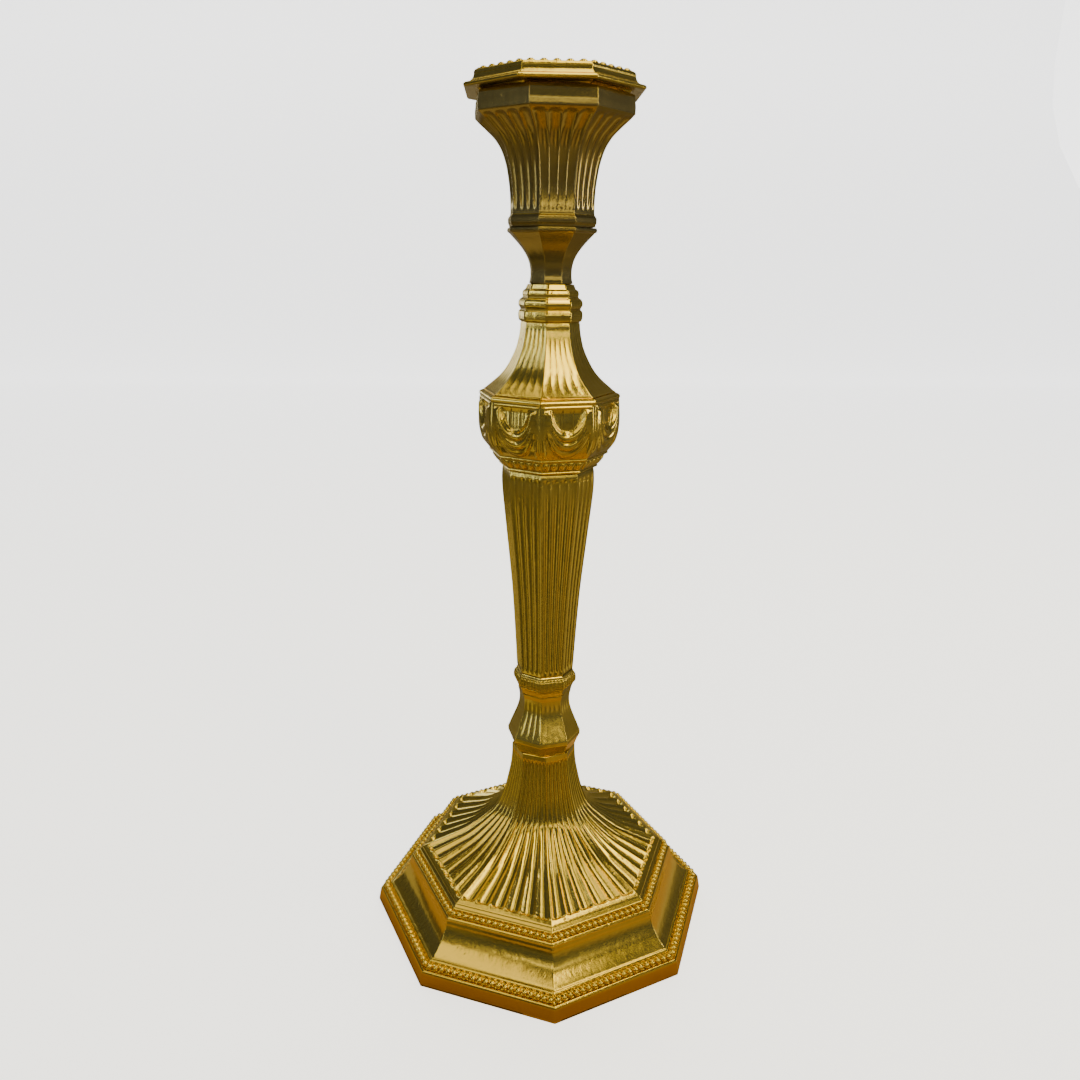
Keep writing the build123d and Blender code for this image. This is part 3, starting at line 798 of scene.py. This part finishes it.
ring_outer = [
    (9.1, KNOP_TOP + 0.05), (9.2, KNOP_TOP + 0.3),
    *curve((9.25, 92.9), (9.6, 94.2), (10.1, 95.4)),
    (10.55, 95.8), (10.75, 96.5), (10.8, 97.6), (10.6, 98.9), (10.2, 99.5), (9.9, 99.7),
    (9.75, RING_TOP - 0.35), (9.5, RING_TOP - 0.1),
]
ring_inner = [
    (6.3, RING_TOP, 1), (6.3, RING_TOP + 1.6, 1), (ROD_HOLE, RING_TOP + 1.6, 1),
    (ROD_HOLE, KNOP_TOP - 1.6, 1),
    (5.0, KNOP_TOP - 1.6, 1), (5.0, KNOP_TOP + 0.1, 1),
]
ring = cast("ring_casting", soften(ring_outer, 0.35), ring_inner, TURNS["stem"], flutes=6, step=0.3,
            stretches=[(95.5, 99.7)])
ring = flute(ring, 6, 0.26, tips=(0.6, 0.6))
finish(ring, "stick", "cast_brass", "stem_ring")

# %% [markdown]
# ## The stem
# The main piece follows a rule along its whole length: an octagon that widens upwards, with
# four flutes on each side. The flutes start in round ends above the ring and stop in round
# ends under the urn.

# %% Stem casting
stem_outer = [
    (9.4, RING_TOP + 0.05), (9.6, RING_TOP + 0.3),
    *curve((9.75, 103.0), (10.35, 115.0), (11.25, 130.0), (12.1, 140.0), (13.05, 150.0), (14.0, 160.0),
           (14.65, 167.0), (14.9, 172.0), (14.75, 175.6), steps=8),
    (14.55, STEM_TOP - 0.1),
]
stem_inner = [
    (11.9, STEM_TOP, 1), (11.9, STEM_TOP - 4, 1), (10.0, 148.0, 1), (8.0, 124.0, 1), (6.4, RING_TOP + 3, 1),
    (6.4, RING_TOP + 0.05, 1),
]
stem = cast("stem_casting", soften(stem_outer, 0.3), stem_inner, TURNS["stem"], step=0.9,
            stretches=[(RING_TOP + 0.7, STEM_TOP - 1.3)])
stem = flute(stem, 4, 0.16, fullness=1.1)
finish(stem, "stick", "cast_brass", "stem")

# %% [markdown]
# ## The urn
# Each side of the urn is a framed panel with drapery hung across it. Every fold is half an
# ellipse, wider and deeper than the one above it. How far a point is from that ellipse gives
# the height of the fold there, which is easier in Python than in nodes, so the panels are
# relief in the sweep. The short tongues below are a fluting again, with a negative depth that
# makes them stand out.

# %% Urn casting
PANEL_LOW, PANEL_TOP = 183.0, 200.6
SWAG_TOP = 199.5
FRAME_IN = 1.05  # distance of the frame from the arris
# Half width, sag and strength of each fold, and half the width of its own ridge
FOLDS = [(6.4, 9.2, 0.9), (7.2, 12.1, 0.75), (7.7, 14.8, 0.5)]
FOLD_HALF = 1.45


def hump(value):
    """A smooth hump that is 1 at 0 and ends at -1 and 1."""
    return np.clip(1 - value**2, 0, None)


def urn_relief(across, height, half):
    """Frame, drapery and the hollow over it, in millimetres outwards."""
    side_half = half * math.tan(HALF_STEP)
    x = across * side_half
    frame_x = side_half - FRAME_IN
    fade = np.clip((height - PANEL_LOW) / 3.0, 0, 1) * np.clip((PANEL_TOP - height) / 0.3, 0, 1)
    posts = 0.45 * hump((np.abs(x) - frame_x) / 0.6) * fade
    rail = 0.32 * hump((height - 200.1) / 0.5) * (np.abs(x) < frame_x)
    drop = SWAG_TOP - height
    drapery = np.zeros_like(x)
    for reach, sag, strength in FOLDS:
        ring = np.hypot(x / reach, drop / sag)
        drapery = np.maximum(drapery, strength * hump((ring - 1) * sag / FOLD_HALF) ** 0.8)
    first_reach, first_sag, _ = FOLDS[0]
    within = np.clip(1 - FOLD_HALF / first_sag - np.hypot(x / first_reach, drop / first_sag), 0, 1)
    hollow = (0.06 * np.cos(x * 2 * math.pi / 1.3) - 0.5) * np.clip(within * 12, 0, 1)
    room = np.clip(drop / 1.2, 0, 1) * np.clip((frame_x - 0.3 - np.abs(x)) / 0.4, 0, 1)
    return np.maximum(posts, rail) + (drapery + hollow) * room


urn_outer = [
    (14.4, STEM_TOP + 0.05), (15.0, STEM_TOP + 0.25), (15.55, 177.2), (15.85, 177.6), (15.6, 178.1),
    (15.8, 178.4), (17.9, 181.4), (17.95, 181.6), (18.65, 181.8), (18.95, 182.2), (18.8, 182.65),
    *curve((18.95, 182.9), (20.1, 184.5), (21.15, 186.5), (21.8, 188.8), (22.1, 191.2), (22.15, 194.5),
           (21.95, 198.0), (21.8, 200.6)),
    (21.95, 200.9), (22.1, 201.4), (21.9, 201.9), (21.3, 202.3), (20.8, URN_TOP - 0.05),
]
urn_inner = [
    (18.1, URN_TOP, 1), (18.1, 200.0, 1), (18.6, 199.0, 1), (18.6, 191.0, 1), (17.6, 186.5, 1),
    (12.0, STEM_TOP + 3, 1), (ROD_HOLE, STEM_TOP + 3, 1), (ROD_HOLE, STEM_TOP - 1.6, 1),
    (11.8, STEM_TOP - 1.6, 1), (11.8, STEM_TOP + 0.05, 1),
]
urn = cast("urn_casting", soften(urn_outer, 0.22), urn_inner, TURNS["urn"], flutes=5, samples=10,
           corner=0.45, step=0.28, stretches=[(178.35, 181.45)], relief=urn_relief)
urn = flute(urn, 5, -0.22, fullness=0.5, tips=(0.8, 0.8))
finish(urn, "stick", "cast_brass", "urn")

# %% [markdown]
# ## The shoulder and the collar
# The shoulder sweeps in from the urn to the collar, with fine shallow flutes. The collar is
# plain, with two grooves round it.

# %% Shoulder and collar castings
shoulder_outer = [
    (20.4, URN_TOP + 0.05), (20.6, URN_TOP + 0.3),
    *curve((20.0, 203.1), (17.9, 205.0), (15.6, 207.2), (13.6, 209.8), (11.8, 213.2), (10.5, 216.4),
           (9.7, 219.6), (9.25, 222.4), (9.1, 224.2)),
    (8.95, SHOULDER_TOP - 0.05),
]
shoulder_inner = [
    (5.1, SHOULDER_TOP, 1), (5.1, SHOULDER_TOP - 1.7, 1), (ROD_HOLE, SHOULDER_TOP - 1.7, 1),
    (ROD_HOLE, SHOULDER_TOP - 4, 1), (6.4, SHOULDER_TOP - 4, 1), (7.0, 216.0, 1), (10.0, 208.8, 1),
    (15.4, 203.2, 1), (16.0, URN_TOP - 1.6, 1), (17.9, URN_TOP - 1.6, 1), (17.9, URN_TOP + 0.05, 1),
]
shoulder = cast("shoulder_casting", soften(shoulder_outer, 0.25), shoulder_inner, TURNS["urn"], flutes=5,
                step=0.55, stretches=[(203.3, 223.6)])
shoulder = flute(shoulder, 5, 0.02, fullness=1.0, tips=(4.0, 1.0))
finish(shoulder, "stick", "cast_brass", "shoulder")

collar_outer = [
    (9.2, SHOULDER_TOP + 0.05), (9.55, SHOULDER_TOP + 0.3),
    *curve((9.8, 225.9), (9.9, 227.2), (9.75, 228.3)),
    (9.3, 228.75), (9.2, 229.1),
    *curve((9.45, 229.5), (9.8, 230.2), (9.8, 231.2), (9.4, 232.1)),
    (8.7, 232.5), (8.5, 232.9),
    *curve((8.55, 233.2), (8.65, 233.9), (8.4, 234.8)),
    (7.7, 235.2), (7.5, 235.7), (7.1, COLLAR_TOP - 0.1),
]
collar_inner = [
    (5.1, COLLAR_TOP, 1), (5.1, COLLAR_TOP - 1.7, 1), (ROD_HOLE, COLLAR_TOP - 1.7, 1),
    (ROD_HOLE, SHOULDER_TOP - 1.6, 1), (5.0, SHOULDER_TOP - 1.6, 1), (5.0, SHOULDER_TOP + 0.05, 1),
]
collar = cast("collar_casting", soften(collar_outer, 0.28), collar_inner, TURNS["urn"], corner=1.2)
finish(collar, "stick", "cast_brass", "collar")

# %% [markdown]
# ## The neck and the cup
# The neck opens like a trumpet under the cup. The cup is a fluted vase, and its flutes end in
# round arches under a plain band. Both get a darker, browner brass than the foot.

# %% Neck and cup castings
neck_outer = [
    (6.6, COLLAR_TOP + 0.05), (6.8, COLLAR_TOP + 0.4),
    *curve((6.55, 238.0), (6.4, 239.6), (6.55, 242.0), (7.15, 244.3), (8.4, 246.7), (10.2, 249.1),
           (12.2, 251.3), (13.1, 252.3)),
    (13.7, 252.6), (13.8, 253.3), (13.5, NECK_TOP - 0.15),
]
neck_inner = [
    (5.1, NECK_TOP, 1), (5.1, NECK_TOP - 1.7, 1), (ROD_HOLE, NECK_TOP - 1.7, 1),
    (ROD_HOLE, COLLAR_TOP - 1.6, 1),
    (5.0, COLLAR_TOP - 1.6, 1), (5.0, COLLAR_TOP + 0.05, 1),
]
neck = cast("neck_casting", soften(neck_outer, 0.25), neck_inner, TURNS["cup"], material=cup_brass)
neck = flute(neck, 4, 0.0, material=cup_brass)
finish(neck, "stick", "cast_brass", "neck")

cup_outer = [
    (13.1, NECK_TOP + 0.1), (13.2, 254.7), (13.5, 255.2), (13.55, 256.6), (13.2, 257.2), (12.85, 257.6),
    *curve((12.75, 258.6), (12.8, 262.0), (13.0, 265.5), (13.45, 269.0), (14.1, 272.6), (15.4, 276.6),
           (17.3, 279.8), (19.6, 282.2), (22.0, 284.4), (23.1, 285.5)),
    (23.6, 286.0), (23.65, 288.0), (23.35, 290.8), (23.1, CUP_TOP - 0.05),
]
cup_inner = [
    (21.0, CUP_TOP, 1), (21.0, 287.4, 1), (18.4, 284.6, 1), (15.2, 282.2, 1), (12.4, 278.6, 1),
    (11.9, 277.0, 1),
    (11.9, 266.6, 1), (11.0, 266.0, 1), (11.0, NECK_TOP + 6, 1), (9.4, NECK_TOP + 4, 1),
    (ROD_HOLE, NECK_TOP + 4, 1), (ROD_HOLE, NECK_TOP - 1.6, 1), (5.0, NECK_TOP - 1.6, 1),
    (5.0, NECK_TOP + 0.1, 1),
]
cup = cast("cup_casting", soften(cup_outer, 0.25), cup_inner, TURNS["cup"], step=0.5,
           stretches=[(258.3, 285.4)], material=cup_brass)
cup = flute(cup, 4, 0.13, fullness=0.7, tips=(4.0, 1.0), material=cup_brass)
finish(cup, "stick", "cast_brass", "candle_cup")

# %% [markdown]
# ## The loose nozzle
# The pan catches the wax. It has a flange that overhangs the cup, a beaded rim and a dish with
# a hole for the tube. The tube is a drawn brass cup with a rolled lip that keeps the pan on.

# %% Nozzle pan and tube
PAN_SEAT = low("nozzle_pan") + 1.6
LEDGE = 295.0


def polish_inside(piece):
    """Gives the inside of a piece the same finish as its outside."""
    nowhere = np.zeros(len(piece.data.vertices), np.float32)
    piece.data.attributes["inside"].data.foreach_set("value", nowhere)


pan_outer = [
    (22.3, PAN_SEAT), (22.9, 292.2), (26.4, 292.25), (26.95, 292.6), (26.9, 293.1), (26.4, 293.5),
    *curve((26.0, 293.6), (25.0, 293.9), (24.2, 294.7), (23.8, 295.8)),
    (23.9, 296.2), (23.6, 296.9), (23.1, 297.2),
]
pan_inner = [
    (21.0, 297.2, 0), (20.6, 296.8, 0), (20.2, 295.6, 0.2), (18.6, 294.7, 0.7), (15.8, 294.2, 1),
    (15.2, 294.5, 1),
    (14.6, LEDGE, 1), (11.68, LEDGE, 1), (11.68, PAN_SEAT, 1), (14.4, PAN_SEAT, 1), (14.5, 292.3, 1),
    (18.8, 292.3, 1), (18.9, PAN_SEAT - 1.6, 1), (20.4, PAN_SEAT - 1.6, 1), (20.5, PAN_SEAT, 1),
]
pan = cast("pan_casting", soften(pan_outer, 0.25), pan_inner, TURNS["pan"], step=0.5)
pan = flute(pan, 4, 0.0)
polish_inside(pan)
finish(pan, "pan", "cast_brass", "nozzle_pan")
pan_beads = beads("pan_beads", 22.25, 296.35, 5, 1.6, TURNS["pan"], 0.8)
finish(pan_beads, "pan", "cast_brass")

TUBE_R, CANDLE_R = 11.6, 11.0
LIP_TOP = high("nozzle_tube")
TUBE_LOW = low("nozzle_tube")
tube_outer = [
    (0.0, TUBE_LOW), (TUBE_R - 1.0, TUBE_LOW), (TUBE_R - 0.3, TUBE_LOW + 0.3), (TUBE_R, TUBE_LOW + 1.0),
    (TUBE_R, 289.9), (12.3, 290.4), (12.5, 290.9), (12.3, 291.25), (TUBE_R, 291.3), (TUBE_R, LEDGE + 0.3),
    (12.7, LEDGE + 0.3), (12.95, LEDGE + 0.9), (12.7, LEDGE + 1.6), (12.1, LIP_TOP),
]
tube_inner = [
    (11.4, LIP_TOP, 1), (11.1, LIP_TOP - 0.2, 1), (CANDLE_R, LIP_TOP - 0.6, 1),
    (CANDLE_R, TUBE_LOW + 1.6, 1),
    (CANDLE_R - 0.6, TUBE_LOW + 0.9, 1), (0.0, TUBE_LOW + 0.8, 1),
]
tube = cast("nozzle_tube_drawn", soften(tube_outer, 0.2), tube_inner, outer_round=1.0, step=1.5,
            material=drawn_brass)
tube = flute(tube, 4, 0.0, material=drawn_brass)
polish_inside(tube)
finish(tube, "tube", "drawn_brass", "nozzle_tube")

# %% [markdown]
# ## The rod and its fixings
# The rod holds everything together. Its thread is a triangular wire wound round a core, which
# a tree makes from a spiral. The nuts and washers are the same sweep as the castings, with six
# sides or none.

# %% Thread tree


def make_thread():
    """A rod with a thread along its whole length, standing on its low end."""
    inputs = {"Low end": "Float", "Length": "Float", "Pitch": "Float", "Radius": "Float",
              "Material": "Material"}
    maker, given, group_output = new_tree("thread", inputs)
    depth = given["Pitch"] * 0.55
    core = given["Radius"] - depth
    turns = given["Length"] / given["Pitch"] - 1.0
    spiral_inputs = {"Resolution": 20, "Rotations": turns, "Start Radius": core, "End Radius": core,
                     "Height": given["Length"] - given["Pitch"]}
    spiral = maker.node("GeometryNodeCurveSpiral", {}, spiral_inputs)["Curve"]
    wire = maker.node("GeometryNodeCurvePrimitiveCircle", {}, {"Resolution": 4, "Radius": depth})["Curve"]
    ridge_inputs = {"Curve": spiral, "Profile Curve": wire, "Fill Caps": True}
    ridge = maker.node("GeometryNodeCurveToMesh", {}, ridge_inputs)["Mesh"]
    lift = maker.node("ShaderNodeCombineXYZ", {}, {"Z": given["Low end"] + given["Pitch"] * 0.5})["Vector"]
    lifted = maker.node("GeometryNodeTransform", {}, {"Geometry": ridge, "Translation": lift})["Geometry"]
    bar_inputs = {"Vertices": 32, "Side Segments": 1, "Fill Segments": 1, "Radius": core + depth * 0.1,
                  "Depth": given["Length"]}
    bar = maker.node("GeometryNodeMeshCylinder", {}, bar_inputs)["Mesh"]
    middle = given["Low end"] + given["Length"] * 0.5
    centre = maker.node("ShaderNodeCombineXYZ", {}, {"Z": middle})["Vector"]
    placed = maker.node("GeometryNodeTransform", {}, {"Geometry": bar, "Translation": centre})["Geometry"]
    joined = maker.tree.nodes.new("GeometryNodeJoinGeometry")
    for part in (lifted, placed):
        maker.tree.links.new(part.socket, joined.inputs[0])
    return close_tree(maker, group_output, Wire(maker, joined.outputs[0]), given)


thread = make_thread()

# %% Rod, nuts and washers
rod = add_object("rod_thread", bpy.data.meshes.new("rod_thread"))
rod_values = {"Low end": low("tie_rod") * MM, "Length": (high("tie_rod") - low("tie_rod")) * MM,
              "Pitch": 1.0 * MM, "Radius": 3.0 * MM, "Material": zinc_steel}
rod = plain_mesh(rod, thread, rod_values)
finish(rod, "stick", "zinc_steel", "tie_rod")


def fixing(name, node, outer_half, hole, sides, rounded):
    """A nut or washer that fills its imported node's height."""
    bottom, top = low(node), high(node)
    outer = [(hole + 0.3, bottom), (outer_half - 0.35, bottom), (outer_half, bottom + 0.3),
             (outer_half, top - 0.3), (outer_half - 0.35, top), (hole + 0.3, top)]
    inner = [(hole, top - 0.25, 1), (hole, bottom + 0.25, 1)]
    piece = cast(name, outer, inner, sides=sides, outer_round=rounded, flutes=1, samples=6, corner=0.25,
                 step=3.0, material=zinc_steel)
    piece = flute(piece, 1, 0.0, material=zinc_steel)
    return finish(piece, "stick", "zinc_steel", node)


fixing("base_nut_hex", "base_nut", 5.0, 3.0, 6, 0.0)
fixing("cup_nut_hex", "cup_nut", 5.0, 3.0, 6, 0.0)
fixing("base_washer_ring", "base_washer", 7.8, ROD_HOLE, 8, 1.0)
fixing("cup_washer_ring", "cup_washer", 8.0, ROD_HOLE, 8, 1.0)


def split_washer(name, node, outer_radius, inner_radius, gap=0.16, steps=40):
    """A lock washer: a square ring that is cut through, with its ends slightly apart in height."""
    bottom, top = low(node), high(node)
    rise = 0.25
    work = bmesh.new()
    rings = []
    for angle in np.linspace(gap / 2, 2 * math.pi - gap / 2, steps):
        lift = rise * angle / (2 * math.pi)
        section = [(inner_radius, bottom + lift), (outer_radius, bottom + lift),
                   (outer_radius, top - rise + lift), (inner_radius, top - rise + lift)]
        rings.append([work.verts.new((r * math.cos(angle) * MM, r * math.sin(angle) * MM, z * MM))
                      for r, z in section])
    for one, other in zip(rings, rings[1:]):
        for index in range(4):
            after = (index + 1) % 4
            work.faces.new((one[index], one[after], other[after], other[index]))
    work.faces.new(rings[0])
    work.faces.new(rings[-1])
    mesh = bpy.data.meshes.new(name)
    work.to_mesh(mesh)
    work.free()
    mesh.materials.append(zinc_steel)
    piece = add_object(name, mesh)
    return finish(piece, "stick", "zinc_steel", node)


split_washer("lock_washer_split", "lock_washer", 5.4, ROD_HOLE)

# %% [markdown]
# ## Floor and light
# Metal shows what it reflects, so the studio matters as much as the brass. The floor and the
# sweep behind it are pale and glow a little, so they stay even. Brass that only reflects a
# pale room looks like paint, so dark cards stand round the object and a fan of coloured
# wedges lies round its foot. They show in its reflections and nowhere else. Narrow yellow soft
# boxes then draw bright lines down the ridges, so part of the gold that is seen comes from the
# lamps. A far wall closes the room to the camera.

# %% Studio


def stage_mesh(name, corners, colour, roughness=0.6):
    """A flat card of the studio."""
    mesh = bpy.data.meshes.new(name)
    mesh.from_pydata(corners, [], [tuple(range(len(corners)))])
    material, _, shader = new_material(name)
    shader.inputs["Base Color"].default_value = (*colour, 1)
    shader.inputs["Roughness"].default_value = roughness
    mesh.materials.append(material)
    card = add_object(name, mesh)
    return card


def reflected_card(name, corners, colour):
    """A card that only shows in reflections."""
    card = stage_mesh(name, corners, colour, 0.9)
    card.visible_camera = False
    card.visible_diffuse = False
    card.visible_shadow = False
    return card


def pale_surface(name, points, faces):
    """A part of the pale surroundings that glows a little, so that it stays even."""
    mesh = bpy.data.meshes.new(name)
    mesh.from_pydata(points, [], faces)
    mesh.shade_smooth()
    material, _, shader = new_material(f"pale_{name}")
    shader.inputs["Base Color"].default_value = (0.85, 0.85, 0.85, 1)
    shader.inputs["Roughness"].default_value = 0.8
    shader.inputs["Emission Color"].default_value = (1, 1, 1, 1)
    shader.inputs["Emission Strength"].default_value = 2.0
    mesh.materials.append(material)
    surface = add_object(name, mesh)
    return surface


def make_floor():
    """Pale floor that curves up into a wall behind the object."""
    reach, bend, height = 3.0, 0.8, 2.5
    angles = np.linspace(0, math.pi / 2, 12)
    line = [(-reach, 0.0), *[(1.6 + bend * math.sin(a), bend - bend * math.cos(a)) for a in angles],
            (1.6 + bend, height)]
    points = [(x, y, z) for y, z in line for x in (-reach, reach)]
    faces = [(2 * i, 2 * i + 1, 2 * i + 3, 2 * i + 2) for i in range(len(line) - 1)]
    pale_surface("floor", points, faces)


def make_far_wall(radius=2.9, height=2.5, sides=32):
    """A round wall that the camera sees past the floor, and that nothing reflects."""
    around = [2 * math.pi * i / sides for i in range(sides)]
    points = [(radius * math.cos(a), radius * math.sin(a), z) for z in (0, height) for a in around]
    faces = [(i, (i + 1) % sides, (i + 1) % sides + sides, i + sides) for i in range(sides)]
    wall = pale_surface("far_wall", points, faces)
    wall.visible_glossy = False
    wall.visible_diffuse = False
    wall.visible_shadow = False


def soft_box(name, place, target, size, power, colour):
    """A rectangular area light that faces a point."""
    data = bpy.data.lights.new(name, "AREA")
    data.shape = "RECTANGLE"
    data.size, data.size_y = size
    data.energy = power
    data.color = colour
    light = add_object(name, data)
    light.location = place
    light.rotation_euler = (Vector(target) - Vector(place)).to_track_quat("-Z", "Y").to_euler()
    return light


def make_world(strength):
    """Even grey surroundings."""
    world = bpy.data.worlds.new("surroundings")
    world.use_nodes = True
    background = world.node_tree.nodes["Background"]
    background.inputs["Color"].default_value = (0.95, 0.97, 1.0, 1)
    background.inputs["Strength"].default_value = strength
    bpy.context.scene.world = world


make_floor()
make_far_wall()
make_world(0.07)
DARK_OLIVE = (0.12, 0.105, 0.065)
CARD_FRONT, CARD_TOP, CARD_REACH = 1.5, 2.4, 3
SLIT = (-1.05, -0.75)  # a gap between the standing cards, where the pale wall still reflects


def standing_card(left, right):
    """Corners of an upright card behind the object."""
    return [(left, CARD_FRONT, 0.0), (right, CARD_FRONT, 0.0), (right, CARD_FRONT, CARD_TOP),
            (left, CARD_FRONT, CARD_TOP)]


lying_card = [(-CARD_REACH, -CARD_REACH, 0.0003), (CARD_REACH, -CARD_REACH, 0.0003),
              (CARD_REACH, CARD_FRONT, 0.0003), (-CARD_REACH, CARD_FRONT, 0.0003)]
for label, corners in (("card_room", lying_card),
                       ("card_back_left", standing_card(-CARD_REACH, SLIT[0])),
                       ("card_back", standing_card(SLIT[1], CARD_REACH))):
    reflected_card(label, corners, DARK_OLIVE)

# A fan of table colours round the foot: the angle where each starts, and its colour
PALE_TABLE = (0.4, 0.36, 0.24)
DARK_TABLE = (0.02, 0.02, 0.015)
BROWN_TABLE = (0.40, 0.24, 0.07)
FAN = [(-215, PALE_TABLE), (-192, DARK_TABLE), (-166, (0.6, 0.53, 0.24)), (-154, (0.11, 0.10, 0.05)),
       (-126, DARK_TABLE), (-100, (0.6, 0.48, 0.2)), (-88, (0.03, 0.028, 0.018)),
       (-64, (0.28, 0.21, 0.09)), (-36, DARK_TABLE), (-12, PALE_TABLE), (20, None)]
FAN_RADIUS, DISC_RADIUS = 0.42, 0.105


def wedge(start, stop, radius, height):
    """A sector of a disc on the floor."""
    angles = np.radians(np.linspace(start, stop, 9))
    rim = [(radius * math.cos(angle), radius * math.sin(angle), height) for angle in angles]
    return [(0, 0, height), *rim]


for number, ((start, colour), (stop, _)) in enumerate(zip(FAN, FAN[1:])):
    reflected_card(f"card_fan_{number}", wedge(start, stop, FAN_RADIUS, 0.0006), colour)
for number, start in enumerate((-180, 0)):
    reflected_card(f"card_table_{number}", wedge(start, start + 180, DISC_RADIUS, 0.0009), BROWN_TABLE)

# Name, place, aim, size, watts and colour of each soft box
for box in (
        ("key", (0.55, -0.75, 0.85), (0, 0, 0.15), (0.28, 0.7), 3.0, (1.0, 0.80, 0.2)),
        ("front_fill", (-0.65, -0.6, 0.75), (0, 0, 0.1), (0.35, 0.85), 1.3, (1.0, 0.8, 0.3)),
        ("behind_camera", (0.1, -1.5, 0.53), (0, 0, 0.28), (2.6, 0.16), 2.6, (1.0, 0.84, 0.35)),
        ("left_strip", (-0.9, -0.35, 0.45), (0, 0, 0.15), (0.07, 0.9), 0.8, (0.92, 0.97, 1.0)),
        ("right_strip", (0.95, -0.1, 0.35), (0, 0, 0.12), (0.08, 0.8), 2.0, (1.0, 0.9, 0.7))):
    soft_box(*box)
for number, (x, power) in enumerate(((-0.40, 0.9), (0.06, 2.2), (0.42, 4.0))):
    soft_box(f"ceiling_strip_{number}", (x, 0.1, 1.1), (x, 0.1, 0), (0.15, 1.4), power, (1.0, 0.82, 0.3))
